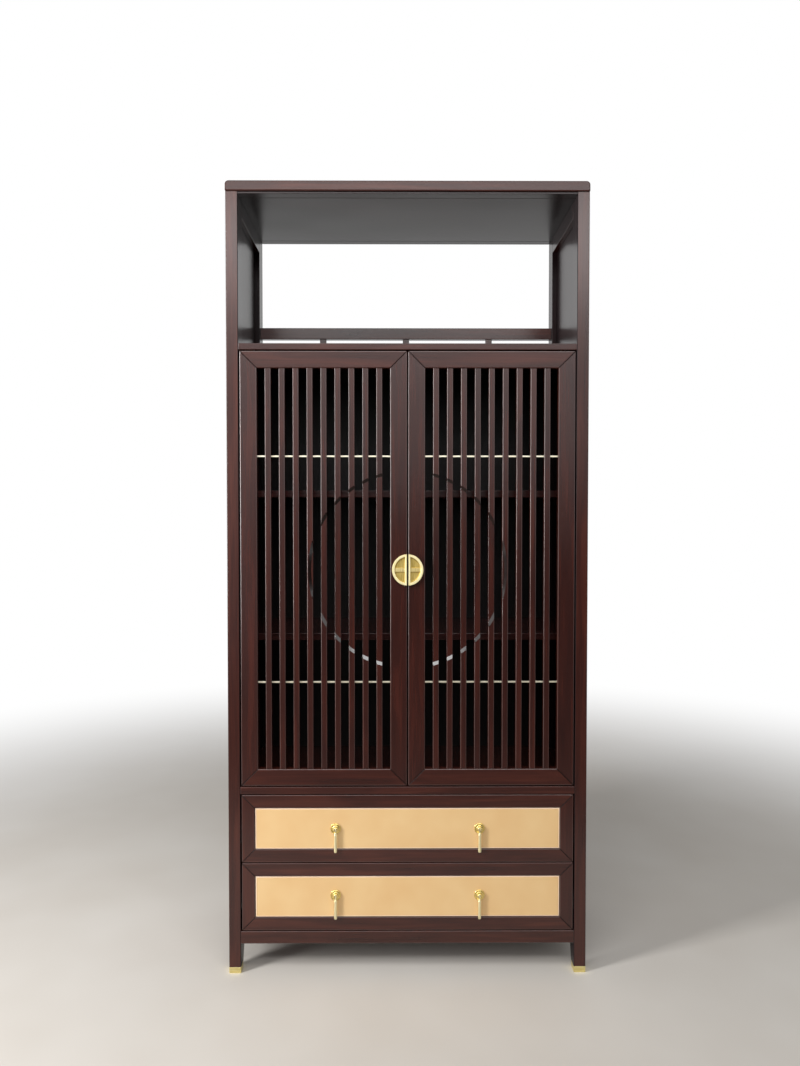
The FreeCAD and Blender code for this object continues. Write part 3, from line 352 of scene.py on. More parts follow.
def ease_edges(node, round_over, *materials, finish=None, reveal=0, edge=None):
    """Stands in for a CAD piece with a copy whose sharp edges are rounded over.

    Finish gives the number of each face's material. A reveal is a chamfer along the top front
    edge, in the last material. Edge is a material for the rounded edges alone, and with it the
    faces of a mitre, whose number isn't zero, keep theirs sharp."""
    shape = bmesh.new()
    shape.from_mesh(nodes[node].data)
    bmesh.ops.remove_doubles(shape, verts=shape.verts, dist=WELD)
    bmesh.ops.dissolve_limit(shape, angle_limit=FLAT, verts=shape.verts, edges=shape.edges)
    for face in shape.faces:
        face.material_index = finish(face) if finish else 0
    if reveal:
        low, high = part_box(node)
        arris = [line for line in shape.edges
                 if all(vert.co.y < low.y + WELD and vert.co.z > high.z - WELD for vert in line.verts)]
        chamfer = bmesh.ops.bevel(shape, geom=arris, offset=reveal, segments=1, profile=0.5,
                                  affect="EDGES", material=-1)
        for face in chamfer["faces"]:
            face.material_index = len(materials) - 1
    weight = shape.edges.layers.float.new("bevel_weight_edge")
    for line in shape.edges:
        mitred = edge and any(face.material_index for face in line.link_faces)
        line[weight] = float(line.calc_face_angle(0) > SHARP and not mitred)
    piece = new_piece(node + "_finished", shape, *materials)
    rounding = piece.modifiers.new("eased_edges", "BEVEL")
    rounding.width = round_over
    rounding.segments = EASED_STEPS
    rounding.limit_method = "WEIGHT"
    rounding.use_clamp_overlap = False
    if edge:
        piece.data.materials.append(edge)
        rounding.material = len(materials)
    face_weighted(piece)
    stand_in(piece, node)


def inwards(face):
    """One on the faces that look into the cabinet and zero on its outside."""
    return int(face.normal.xy.dot(face.calc_center_median().xy) < 0)


# Outsides are glossy. The insides are painted near black, a painted shade, under a coat that only
# glimmers. The chamfer is painted dark and dull, a painted shadow line under the top board, and the
# same finish darkens the mitres' Vs, where stain and glue gather.
upright_wood = lacquered_hardwood("hardwood_upright_gloss_lacquer", "z")
inside_painted_shade_wood = lacquered_hardwood("hardwood_inside_painted_shade", "z", INSIDE_PAINTED_SHADE, shine=INSIDE_SHINE)
joint_stain_and_painted_shade_wood = lacquered_hardwood("hardwood_joint_stain_and_painted_shade", "y", END_GRAIN_STAIN_AND_PAINTED_SHADE, JOINT_ROUGHNESS,
                                JOINT_SHINE)
for side in ("left", "right"):
    ease_edges("post_front_%s" % side, WOOD_ROUND, upright_wood, inside_painted_shade_wood, joint_stain_and_painted_shade_wood,
               finish=inwards, reveal=BOARD_REVEAL)
    ease_edges("post_back_%s" % side, WOOD_ROUND, upright_wood, inside_painted_shade_wood, finish=inwards)

# Foot caps: square cups of brass sheet, bent, brazed at the corners and brushed across. Each slips
# over the spigot that is cut at the foot of a leg, and carries the leg on its flat sole.
CAP_DEEP = "#DAC67A"
CAP_BRIGHT = "#F8EDB2"
CAP_ROUGHNESS = 0.3
CAP_ROUND = 0.4 * MM
BRUSH_WIDTH = 0.9 * MM
BRUSH_STRETCH = 25
BRUSH_DETAIL = 3.0
BRUSH_ENDS = (0.25, 0.75)
SCRATCH_HEIGHT = 0.05 * MM
SCRATCH_STRENGTH = 0.2


def brushed_brass(name, axes, roughness, deep, bright):
    """Solid brass under clear lacquer, rubbed along the axes with a fine abrasive.

    The scratches draw its gleam out into soft streaks across them. Real ones are far too fine to
    show, so they are drawn nearly a millimetre wide."""
    material, tree, shader = start_material(name, {"Metallic": 1.0, "Roughness": roughness})
    place = add_node(tree, "TexCoord").outputs["Object"]
    along = add_node(tree, "Mapping", {"Scale": grain_scale(axes, BRUSH_WIDTH, BRUSH_STRETCH)},
                     {"Vector": place}).outputs["Vector"]
    marks = add_node(tree, "TexNoise", {"Scale": 1.0, "Detail": BRUSH_DETAIL}, {"Vector": along})
    colour = add_node(tree, "ValToRGB", links={"Fac": marks.outputs["Fac"]},
                      stops=zip(BRUSH_ENDS, (deep, bright)))
    tree.links.new(colour.outputs["Color"], shader.inputs["Base Color"])
    lines = add_node(tree, "Bump", {"Strength": SCRATCH_STRENGTH, "Distance": SCRATCH_HEIGHT},
                     {"Height": marks.outputs["Fac"]})
    tree.links.new(lines.outputs["Normal"], shader.inputs["Normal"])
    return material


cap_brass = brushed_brass("brass_sheet_brushed_across", "xy", CAP_ROUGHNESS, CAP_DEEP, CAP_BRIGHT)
ease_edges("foot_caps", CAP_ROUND, cap_brass)

# Side frames: three rails a side from post to post, with their grain from front to back, grooved
# for thin panels whose grain runs up. Inside, both are painted nearly black, a painted shade. The
# cleats of the shelves and the battens of the drawer slides are fixed to them there.
deep_wood = lacquered_hardwood("hardwood_front_to_back_gloss_lacquer", "y")
ease_edges("side_rails", WOOD_ROUND, deep_wood, inside_painted_shade_wood, finish=inwards)
ease_edges("side_panels", WOOD_ROUND, upright_wood, inside_painted_shade_wood, finish=inwards)
for node in ("shelf_cleats", "slide_battens"):
    ease_edges(node, WOOD_ROUND, deep_wood)

# Boards and rails that cross the cabinet, planed, with the grain from side to side: the rails and
# the board at its foot, the cupboard's floor, the shelves, the ceiling of the display bay and the
# top board. The ceiling's front rail has the chamfer under the top board, as the posts have.
SHELF_STAIN = ("#2C1614", "#391C1A", "#4A2725")
EDGE_ROUGHNESS = 0.32
EDGE_SHINE = 1.0
TOP_SHINE = 0.4
SATIN_SHINE = 0.3
EDGE_ROUND = 0.9 * MM
BOARD_ROUND = 1.6 * MM
level_wood = lacquered_hardwood("hardwood_side_to_side_gloss_lacquer", "x")
# Lacquer gathers where an edge is rounded, so the edge draws a bright line.
edge_wood = lacquered_hardwood("hardwood_edge_thick_lacquer", "z", roughness=EDGE_ROUGHNESS,
                               shine=EDGE_SHINE)
for node in ("bottom_front_rail", "cupboard_floor", "display_shelf"):
    ease_edges(node, EDGE_ROUND, level_wood, edge=edge_wood)
for node in ("bottom_back_rail", "bottom_board"):
    ease_edges(node, WOOD_ROUND, level_wood)
# The top board is a little less glossy than the rest.
top_wood = lacquered_hardwood("hardwood_top_gloss_lacquer", "x", shine=TOP_SHINE)
ease_edges("top_board", BOARD_ROUND, top_wood)
# The inner shelves have a satin coat, and show between the slats as dull bands.
shelf_wood = lacquered_hardwood("hardwood_shelf_satin_lacquer", "x", SHELF_STAIN, shine=SATIN_SHINE)
for node in ("inner_shelf_lower", "inner_shelf_upper"):
    ease_edges(node, WOOD_ROUND, shelf_wood)
# The ceiling is painted near black, a painted shade, and with its satin coat it is dim above the bay.
ceiling_painted_shade_wood = lacquered_hardwood("hardwood_ceiling_painted_shade", "x", INSIDE_PAINTED_SHADE,
                                  shine=SATIN_SHINE)
# Its chamfer under the top board is painted dark, a painted shadow line.
ease_edges("ceiling_front_rail", WOOD_ROUND, ceiling_painted_shade_wood, joint_stain_and_painted_shade_wood, reveal=BOARD_REVEAL)
for node in ("ceiling_back_rail", "ceiling_panel"):
    ease_edges(node, WOOD_ROUND, ceiling_painted_shade_wood)

# Back panel: a thin board let into grooves in the back posts, between the bottom rail and the
# display shelf. Its colour is a painted shade, almost black, and it is left satin, so it looks like
# depth behind the slats.
BACK_PAINTED_SHADE = ("#100D0D", "#141010", "#1A1514")
BACK_ROUGHNESS = 0.4
BACK_SHINE = 0.25
back_painted_shade_wood = lacquered_hardwood("hardwood_back_painted_shade", "z", BACK_PAINTED_SHADE, BACK_ROUGHNESS,
                               BACK_SHINE)
ease_edges("back_panel", WOOD_ROUND, back_painted_shade_wood)

# Gallery: a slim rail across the back of the display bay, between the back posts. Three upright
# struts, which stand on the shelf, are dowelled into it from below.
ease_edges("gallery_rail", WOOD_ROUND, level_wood)
ease_edges("gallery_struts", WOOD_ROUND, upright_wood)

# Door frames: stiles and rails, mitred and glued at the corners with a fine V along each joint.
# The stiles are stained a shade darker and polished a little more than the carcass. Stain and glue
# gather in the V, so its sides are darker than the faces.
DOOR_STAIN = ("#270F0C", "#32140F", "#411C15")
DOOR_SHINE = 0.6
MITRE_SLACK = 0.15


def mitre_finish(face):
    """One on the sides of the V along a mitre and zero elsewhere."""
    across, up = abs(face.normal.x), abs(face.normal.z)
    return int(abs(across - up) < MITRE_SLACK and across > MITRE_SLACK)


door_wood = lacquered_hardwood("hardwood_door_gloss_lacquer", "z", DOOR_STAIN, shine=DOOR_SHINE)
for side in ("left", "right"):
    ease_edges("door_%s_stiles" % side, EDGE_ROUND, door_wood, joint_stain_and_painted_shade_wood, finish=mitre_finish,
               edge=edge_wood)
    ease_edges("door_%s_rails" % side, EDGE_ROUND, level_wood, joint_stain_and_painted_shade_wood, finish=mitre_finish,
               edge=edge_wood)

# Door slats of the same wood, rounded along their front edges, threaded on two brass rods and then
# milled across together with a round moon. The milling shows end grain, which takes more stain,
# and the lacquer lies thicker and shines more on it and on the rounded edges.
SLATS = 9
SLAT_WIDTH = 15 * MM
SLAT_ROUND = 2 * MM
SLAT_ROUND_STEPS = 6
MOON_RADIUS = 249 * MM
MOON_BEVEL = 8 * MM
MOON_DEPTH = 3.5 * MM
MOON_STEPS = 256
MOON_ROUGHNESS = 0.12
MOON_SHINE = 1.0
CUT_REACH = 1 * MM
RECESS_ROUND = 0.8 * MM
RECESS_ANGLE = math.radians(60)
moon_wood = lacquered_hardwood("hardwood_end_grain_gloss_lacquer", "y", END_GRAIN_STAIN_AND_PAINTED_SHADE,
                               MOON_ROUGHNESS, MOON_SHINE)
slat_woods = (door_wood, moon_wood, edge_wood)


def cut_away(piece, cutter):
    """Cuts one object out of another and removes the cutter."""
    cut = piece.modifiers.new("cut", "BOOLEAN")
    cut.operation = "DIFFERENCE"
    cut.solver = "EXACT"
    cut.object = cutter
    graph = bpy.context.evaluated_depsgraph_get()
    finished = bpy.data.meshes.new_from_object(piece.evaluated_get(graph))
    piece.modifiers.clear()
    piece.data = finished
    bpy.data.objects.remove(cutter)


def milled_slats(side):
    """Round-edged slats in one mesh, with the moon cut across them by a cone."""
    node = "door_%s_slats" % side
    low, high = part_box(node)
    shape = bmesh.new()
    size = Vector((SLAT_WIDTH, high.y - low.y, high.z - low.z))
    for number in range(SLATS):
        left = low.x + number * (high.x - low.x - SLAT_WIDTH) / (SLATS - 1)
        place = Matrix.Translation(Vector((left, low.y, low.z)) + size / 2)
        bmesh.ops.create_cube(shape, size=1, matrix=place @ Matrix.Diagonal((*size, 1)))
    edges = [edge for edge in shape.edges if abs(edge.verts[0].co.z - edge.verts[1].co.z) > SLAT_WIDTH
             and max(vert.co.y for vert in edge.verts) < low.y + WELD]
    rounded = bmesh.ops.bevel(shape, geom=edges, offset=SLAT_ROUND, segments=SLAT_ROUND_STEPS,
                              profile=0.5, affect="EDGES", material=-1)
    for face in rounded["faces"]:
        face.material_index = slat_woods.index(edge_wood)
    piece = new_piece("door_%s_milled_slats" % side, shape, *slat_woods)
    cone = bmesh.new()
    flare = CUT_REACH * MOON_BEVEL / MOON_DEPTH
    middle = Vector((0, low.y + (MOON_DEPTH - CUT_REACH) / 2, (low.z + high.z) / 2))
    bmesh.ops.create_cone(cone, cap_ends=True, segments=MOON_STEPS, radius1=MOON_RADIUS - MOON_BEVEL,
                          radius2=MOON_RADIUS + flare, depth=MOON_DEPTH + CUT_REACH,
                          matrix=Matrix.Translation(middle) @ Matrix.Rotation(QUARTER_TURN, 4, "X"))
    for face in cone.faces:
        face.material_index = int(len(face.verts) < MOON_STEPS)
    cut_away(piece, new_piece("moon_cutter", cone, door_wood, moon_wood))
    piece.data.set_sharp_from_angle(angle=SHARP)
    rounding = piece.modifiers.new("rounded_recess", "BEVEL")
    rounding.width = RECESS_ROUND
    rounding.segments = EASED_STEPS
    rounding.limit_method = "ANGLE"
    rounding.angle_limit = RECESS_ANGLE
    rounding.use_clamp_overlap = False
    face_weighted(piece)
    stand_in(piece, node)


for side in ("left", "right"):
    milled_slats(side)

# Tie rods: square brass bar, drawn and polished along its length, let through every slat and into
# the stiles. Drawn bar gleams in long pale lines between the slats.
ROD_DEEP = "#F6EBCB"
ROD_BRIGHT = "#FFFCEC"
ROD_ROUGHNESS = 0.45
ROD_ROUND = 0.3 * MM
rod_brass = brushed_brass("brass_drawn_bar", "x", ROD_ROUGHNESS, ROD_DEEP, ROD_BRIGHT)
for side in ("left", "right"):
    ease_edges("door_%s_tie_rods" % side, ROD_ROUND, rod_brass)

# Half-moon pulls: cast brass dishes, one on each door, with a finger bar across. The metal is
# brushed upwards, and its colour is pale on the rim and darker with depth into the dish. The two
# pulls leave a narrow gap where the doors meet.
PULL_GAP = 2.2 * MM
PULL_RIM = 5.8 * MM
PULL_WALL = 4.2 * MM
PULL_BAR = 9.5 * MM
BAR_DROP = 2 * MM
BAR_SLOPE = 0.8 * MM
DISH_DEPTH = 3 * MM
DISH_SLOPE = 1.8 * MM
PULL_ROUND = 0.6 * MM
PULL_ROUND_STEPS = 3
ARC_STEPS = 24
BAR_STEPS = 6
WALL_POINTS = 2
DISH_DEEP = "#A98E42"
DISH_BRIGHT = "#D4BE78"
RIM_DEEP = "#F0E2A8"
RIM_BRIGHT = "#FBF3CC"
DISH_ROUGHNESS = 0.55
DISH_SCRATCH_STRENGTH = 0.25


def cast_dish_brass(name, rim_level, floor_level):
    """Cast brass, brushed upwards, with a satin gleam: pale on the rim and darker with depth into the
    dish.
    """
    material, tree, shader = start_material(name, {"Metallic": 1.0, "Roughness": DISH_ROUGHNESS})
    place = add_node(tree, "TexCoord").outputs["Object"]
    along = add_node(tree, "Mapping", {"Scale": grain_scale("z", BRUSH_WIDTH, BRUSH_STRETCH)},
                     {"Vector": place}).outputs["Vector"]
    marks = add_node(tree, "TexNoise", {"Scale": 1.0, "Detail": BRUSH_DETAIL}, {"Vector": along})
    floor_tone, rim_tone = [
        add_node(tree, "ValToRGB", links={"Fac": marks.outputs["Fac"]},
                 stops=zip(NOISE_ENDS, tones)).outputs["Color"]
        for tones in ((DISH_DEEP, DISH_BRIGHT), (RIM_DEEP, RIM_BRIGHT))]
    height = add_node(tree, "SeparateXYZ", links={"Vector": place}).outputs["Y"]
    depth = add_node(tree, "MapRange", {"From Min": rim_level, "From Max": floor_level},
                     {"Value": height}).outputs["Result"]
    tone = add_node(tree, "MixRGB", links={"Fac": depth, "Color1": rim_tone, "Color2": floor_tone})
    tree.links.new(tone.outputs["Color"], shader.inputs["Base Color"])
    lines = add_node(tree, "Bump", {"Strength": DISH_SCRATCH_STRENGTH, "Distance": SCRATCH_HEIGHT},
                     {"Height": marks.outputs["Fac"]})
    tree.links.new(lines.outputs["Normal"], shader.inputs["Normal"])
    return material


def arc_points(radius, first, last, steps):
    """Points on a circle about the middle of the pull, from one angle to another."""
    angles = [first + (last - first) * step / steps for step in range(steps + 1)]
    return [(radius * math.cos(angle), radius * math.sin(angle)) for angle in angles]


def add_loop(shape, points, depth):
    """A closed loop of edges through points at one depth."""
    verts = [shape.verts.new((across, depth, up)) for across, up in points]
    return verts, [shape.edges.new(pair) for pair in zip(verts, verts[1:] + verts[:1])]


def half_dish(side, sign, material):
    """Half of a round dish with a raised rim, a straight wall at the gap and a finger bar.

    Each loop runs up the lower arc, past the end of the bar and up the upper arc, and ends with
    the two points where the wall meets the bar."""
    node = "door_%s_pull" % side
    low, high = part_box(node)
    outer = (high.z - low.z) / 2
    half_bar = PULL_BAR / 2
    rim = (outer - PULL_RIM, PULL_GAP + PULL_WALL)
    ledge = (rim[0] - BAR_SLOPE, rim[1] + BAR_SLOPE / 2)
    shape = bmesh.new()
    loops = []
    for (radius, wall), depth in (((outer, PULL_GAP), high.y - low.y), ((outer, PULL_GAP), 0),
                                  (rim, 0), (ledge, BAR_DROP)):
        corner = math.acos(wall / radius)
        bar = math.asin(half_bar / radius)
        upper = arc_points(radius, bar, corner, ARC_STEPS)
        middle = arc_points(radius, -bar, bar, BAR_STEPS)[1:-1]
        lower = [(across, -up) for across, up in reversed(upper)]
        loops.append(add_loop(shape, lower + middle + upper + [(wall, half_bar), (wall, -half_bar)],
                              depth))
    for one, other in zip(loops, loops[1:]):
        bmesh.ops.bridge_loops(shape, edges=one[1] + other[1])
    shape.faces.new(loops[0][0])
    verts = loops[-1][0]
    shape.faces.new(verts[ARC_STEPS:-ARC_STEPS - WALL_POINTS] + verts[-WALL_POINTS:])
    radius = ledge[0] - DISH_SLOPE
    wall = ledge[1] + DISH_SLOPE / 2
    edge = half_bar + DISH_SLOPE / 2
    floor_arc = arc_points(radius, math.asin(edge / radius), math.acos(wall / radius), ARC_STEPS)
    upper_mouth = verts[-ARC_STEPS - 1 - WALL_POINTS:-1]
    lower_mouth = [verts[-1]] + verts[:ARC_STEPS + 1]
    for way, mouth in ((1, upper_mouth), (-1, lower_mouth)):
        points = floor_arc + [(wall, edge)]
        if way < 0:
            points = [(across, -up) for across, up in reversed(points)]
        inner, edges = add_loop(shape, points, BAR_DROP + DISH_DEPTH)
        shape.faces.new(inner)
        for number in range(len(inner)):
            following = (number + 1) % len(inner)
            shape.faces.new((mouth[number], mouth[following], inner[following], inner[number]))
    bmesh.ops.recalc_face_normals(shape, faces=shape.faces)
    sharp = [edge for edge in shape.edges if edge.calc_face_angle(0) > SHARP
             and min(vert.co.y for vert in edge.verts) < high.y - low.y - WELD]
    bmesh.ops.bevel(shape, geom=sharp, offset=PULL_ROUND, segments=PULL_ROUND_STEPS, profile=0.5,
                    affect="EDGES", material=-1, clamp_overlap=True)
    bmesh.ops.scale(shape, verts=shape.verts, vec=(sign, 1, 1))
    bmesh.ops.translate(shape, verts=shape.verts, vec=(0, low.y, (low.z + high.z) / 2))
    bmesh.ops.recalc_face_normals(shape, faces=shape.faces)
    piece = new_piece("door_%s_half_moon_pull" % side, shape, material)
    face_weighted(piece)
    stand_in(piece, node)


pull_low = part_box("door_left_pull")[0]
dish_brass = cast_dish_brass("brass_cast_darker_with_depth", pull_low.y + PULL_ROUND,
                             pull_low.y + BAR_DROP + PULL_ROUND)
for side, sign in (("left", -1), ("right", 1)):
    half_dish(side, sign, dish_brass)

# Pivot pins at the top and bottom of each door turn in square bushes in the shelf and the floor.
# They are turned brass, painted dark brown with their bushes, a painted shade, so that the specks in
# the doors' gaps stay dark.
PIN_PAINTED_SHADE_DEEP = "#2B2018"
PIN_PAINTED_SHADE_PALE = "#3A2B1E"
PIN_ROUGHNESS = 0.45


def dress(material, *names):
    """Gives CAD nodes a material in place of their plain one."""
    for name in names:
        for slot in nodes[name].material_slots:
            slot.material = material


pins_painted_shade = brushed_brass("brass_pins_painted_shade", "z", PIN_ROUGHNESS, PIN_PAINTED_SHADE_DEEP, PIN_PAINTED_SHADE_PALE)
dress(pins_painted_shade, "pivot_bushes", "door_left_pivot_pins", "door_right_pivot_pins")

# Strike plates and drawer slides: steel, cut and rolled from sheet and zinc-plated. The channels of
# a slide are screwed to its batten and to the side of the drawer box. The plating is a cool pale
# grey with a faint spangle and a soft metallic gleam.
ZINC_DEEP = "#9EA0A3"
ZINC_PALE = "#C4C6C8"
ZINC_ROUGHNESS = 0.35
SPANGLE_WIDTH = 4 * MM
SPANGLE_DETAIL = 2.0
zinc, tree, shader = start_material("steel_zinc_plated", {"Metallic": 1.0, "Roughness": ZINC_ROUGHNESS})
place = add_node(tree, "TexCoord").outputs["Object"]
spangle = add_node(tree, "TexNoise", {"Scale": 1 / SPANGLE_WIDTH, "Detail": SPANGLE_DETAIL},
                   {"Vector": place})
tone = add_node(tree, "ValToRGB", links={"Fac": spangle.outputs["Fac"]},
                stops=zip(NOISE_ENDS, (ZINC_DEEP, ZINC_PALE)))
tree.links.new(tone.outputs["Color"], shader.inputs["Base Color"])
dress(zinc, "door_left_strike_plate", "door_right_strike_plate", "slide_outer_channels",
      "drawer_lower_slide_inner", "drawer_lower_slide_middle", "drawer_upper_slide_inner",
      "drawer_upper_slide_middle")

# Magnetic catches, screwed up under the display shelf behind the doors. Their cases are ABS,
# moulded in brown, and the mould's spark-eroded texture makes them dull and slightly grainy.
CASE_DEEP = "#241915"
CASE_PALE = "#30221C"
CASE_ROUGHNESS = 0.55
TEXTURE_WIDTH = 0.6 * MM
TEXTURE_DETAIL = 2.0
TEXTURE_HEIGHT = 0.05 * MM
TEXTURE_STRENGTH = 0.3
catch_case, tree, shader = start_material("abs_moulded_brown", {"Roughness": CASE_ROUGHNESS})
place = add_node(tree, "TexCoord").outputs["Object"]
texture = add_node(tree, "TexNoise", {"Scale": 1 / TEXTURE_WIDTH, "Detail": TEXTURE_DETAIL},
                   {"Vector": place})
tone = add_node(tree, "ValToRGB", links={"Fac": texture.outputs["Fac"]},
                stops=zip(NOISE_ENDS, (CASE_DEEP, CASE_PALE)))
tree.links.new(tone.outputs["Color"], shader.inputs["Base Color"])
grain = add_node(tree, "Bump", {"Strength": TEXTURE_STRENGTH, "Distance": TEXTURE_HEIGHT},
                 {"Height": texture.outputs["Fac"]})
tree.links.new(grain.outputs["Normal"], shader.inputs["Normal"])
dress(catch_case, "door_catches")

# Drawer boxes of pale beech, planed and oiled. The front and back stand between the sides, and a
# thin bottom sits in grooves in all four.
BEECH_DEEP = "#9C744B"
BEECH_PALE = "#B98F63"
BEECH_ROUGHNESS = 0.5
BEECH_FIGURE_WIDTH = 9 * MM
BEECH_FIGURE_STRETCH = 20
BEECH_FIGURE_DETAIL = 4.0
BEECH_FIGURE_TWIST = 0.4
BOX_ROUND = 0.8 * MM


def oiled_beech(name, axis):
    """Beech with its grain along an axis: oil leaves it warm, pale and dull, with a soft figure."""
    material, tree, shader = start_material(name, {"Roughness": BEECH_ROUGHNESS})
    place = add_node(tree, "TexCoord").outputs["Object"]
    along = add_node(tree, "Mapping", {"Scale": grain_scale(axis, BEECH_FIGURE_WIDTH,
                                                            BEECH_FIGURE_STRETCH)},
                     {"Vector": place}).outputs["Vector"]
    figure = add_node(tree, "TexNoise", {"Scale": 1.0, "Detail": BEECH_FIGURE_DETAIL,
                                         "Distortion": BEECH_FIGURE_TWIST}, {"Vector": along})
    colour = add_node(tree, "ValToRGB", links={"Fac": figure.outputs["Fac"]},
                      stops=zip(NOISE_ENDS, (BEECH_DEEP, BEECH_PALE)))
    tree.links.new(colour.outputs["Color"], shader.inputs["Base Color"])
    return material


box_wood_deep = oiled_beech("beech_front_to_back_oiled", "y")
box_wood_level = oiled_beech("beech_side_to_side_oiled", "x")
for level in ("lower", "upper"):
    ease_edges("drawer_%s_box_sides" % level, BOX_ROUND, box_wood_deep)
    ease_edges("drawer_%s_box_ends" % level, BOX_ROUND, box_wood_level)
    dress(box_wood_level, "drawer_%s_box_bottom" % level)


# Drawer fronts: frames of the carcass's hardwood, mitred and glued at the corners like the doors'
# and finished as they are. The grain runs up the two uprights and across the other two members.
def turned_at_mitre(low, high):
    """Coordinates whose grain turns with the frame: up on its uprights and across elsewhere."""
    def turn(tree, place):
        parts = add_node(tree, "SeparateXYZ", links={"Vector": place}).outputs
        aside = add_node(tree, "Math", links={0: parts["X"]}, operation="ABSOLUTE").outputs[0]
        from_side = add_node(tree, "Math", {0: high.x}, {1: aside}, operation="SUBTRACT").outputs[0]
        above = add_node(tree, "Math", {1: (low.z + high.z) / 2}, {0: parts["Z"]},
                         operation="SUBTRACT").outputs[0]
        above = add_node(tree, "Math", links={0: above}, operation="ABSOLUTE").outputs[0]
        from_edge = add_node(tree, "Math", {0: (high.z - low.z) / 2}, {1: above},
                             operation="SUBTRACT").outputs[0]
        upright = add_node(tree, "Math", links={0: from_side, 1: from_edge},
                           operation="LESS_THAN").outputs[0]
        turned = add_node(tree, "CombineXYZ", links={"X": parts["Z"], "Y": parts["Y"],
                                                     "Z": parts["X"]}).outputs["Vector"]
        return add_node(tree, "MixRGB", links={"Fac": upright, "Color1": place,
                                               "Color2": turned}).outputs["Color"]
    return turn


for level in ("lower", "upper"):
    node = "drawer_%s_front_frame" % level
    wood = lacquered_hardwood("hardwood_mitred_%s_gloss_lacquer" % level, "x",
                              turn=turned_at_mitre(*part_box(node)))
    ease_edges(node, EDGE_ROUND, wood, joint_stain_and_painted_shade_wood, finish=mitre_finish, edge=edge_wood)

# Leather faces of the drawers: tan hide glued over a thin board and sewn round its edge, so a
# narrow welt stands along the border. The stitches are waxed linen thread of nearly the same tan.
LEATHER_PALE = "#E1BF8B"
LEATHER_DEEP = "#DBB47F"
# Painted highlight along the fold at the board's edge.
FOLD_PAINTED_HIGHLIGHT_PALE = "#F3D9BF"
FOLD_PAINTED_HIGHLIGHT_DEEP = "#EACBAC"
HIDE_ROUGHNESS = 0.5
HIDE_IOR = 1.45
HIDE_CLOUD_WIDTH = 90 * MM
HIDE_CLOUD_DETAIL = 2.0
HIDE_ENDS = (0.25, 0.75)
PEBBLE_WIDTH = 1.8 * MM
PEBBLE_HEIGHT = 0.15 * MM
PEBBLE_STRENGTH = 0.2
LEATHER_ROUND = 2.2 * MM
LEATHER_ROUND_STEPS = 5
FOLD_WIDTH = 1.1 * MM
WELT_WIDTH = 4.5 * MM
SEAM_WIDTH = 1.6 * MM
SEAM_DEPTH = 0.6 * MM
STITCH_PITCH = 6 * MM
STITCH_LENGTH = 4.4 * MM
STITCH_SIDES = 6
STITCH_RINGS = 4
THREAD_DEEP = "#E3C093"
THREAD_PALE = "#F3DDB8"
THREAD_ROUGHNESS = 0.6
THREAD_RADIUS = 0.4 * MM
THREAD_TWIST = 0.7 * MM
X, Z = 0, 2


def tan_leather(name, deep, pale):
    """Full-grain hide, tanned and waxed: a soft sheen, faint clouds and a pebble.

    The pebble is drawn about twice as coarse as real, so that it shows."""
    material, tree, shader = start_material(name, {"Roughness": HIDE_ROUGHNESS, "IOR": HIDE_IOR})
    place = add_node(tree, "TexCoord").outputs["Object"]
    cloud = add_node(tree, "TexNoise", {"Scale": 1 / HIDE_CLOUD_WIDTH, "Detail": HIDE_CLOUD_DETAIL},
                     {"Vector": place})
    colour = add_node(tree, "ValToRGB", links={"Fac": cloud.outputs["Fac"]},
                      stops=zip(HIDE_ENDS, (deep, pale)))
    tree.links.new(colour.outputs["Color"], shader.inputs["Base Color"])
    pebble = add_node(tree, "TexVoronoi", {"Scale": 1 / PEBBLE_WIDTH}, {"Vector": place})
    grain = add_node(tree, "Bump", {"Strength": PEBBLE_STRENGTH, "Distance": PEBBLE_HEIGHT},
                     {"Height": pebble.outputs["Distance"]})
    tree.links.new(grain.outputs["Normal"], shader.inputs["Normal"])
    return material


def leather_face(level, hide, fold_painted_highlight):
    """A board wrapped in leather, with a painted highlight where it folds over the edge, and a seam
    round its face.
    """
    node = "drawer_%s_leather_panel" % level
    low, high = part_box(node)
    shape = bmesh.new()
    bmesh.ops.create_cube(shape, size=1, matrix=Matrix.Translation((low + high) / 2)
                          @ Matrix.Diagonal((*(high - low), 1)))
    front = min(shape.faces, key=lambda face: face.calc_center_median().y)
    bmesh.ops.bevel(shape, geom=list(front.edges), offset=LEATHER_ROUND, segments=LEATHER_ROUND_STEPS,
                    profile=0.5, affect="EDGES", material=-1)
    front = min(shape.faces, key=lambda face: face.calc_center_median().y)
    bmesh.ops.inset_region(shape, faces=[front], thickness=FOLD_WIDTH)
    for face in shape.faces:
        face.material_index = int(face != front)
    bmesh.ops.inset_region(shape, faces=[front], thickness=WELT_WIDTH - LEATHER_ROUND - FOLD_WIDTH)
    for depth in (-SEAM_DEPTH, SEAM_DEPTH):
        bmesh.ops.inset_region(shape, faces=[front], thickness=SEAM_WIDTH / 2, depth=depth)
    bmesh.ops.recalc_face_normals(shape, faces=shape.faces)
    piece = new_piece("drawer_%s_leather_face" % level, shape, hide, fold_painted_highlight)
    face_weighted(piece)
    stand_in(piece, node)


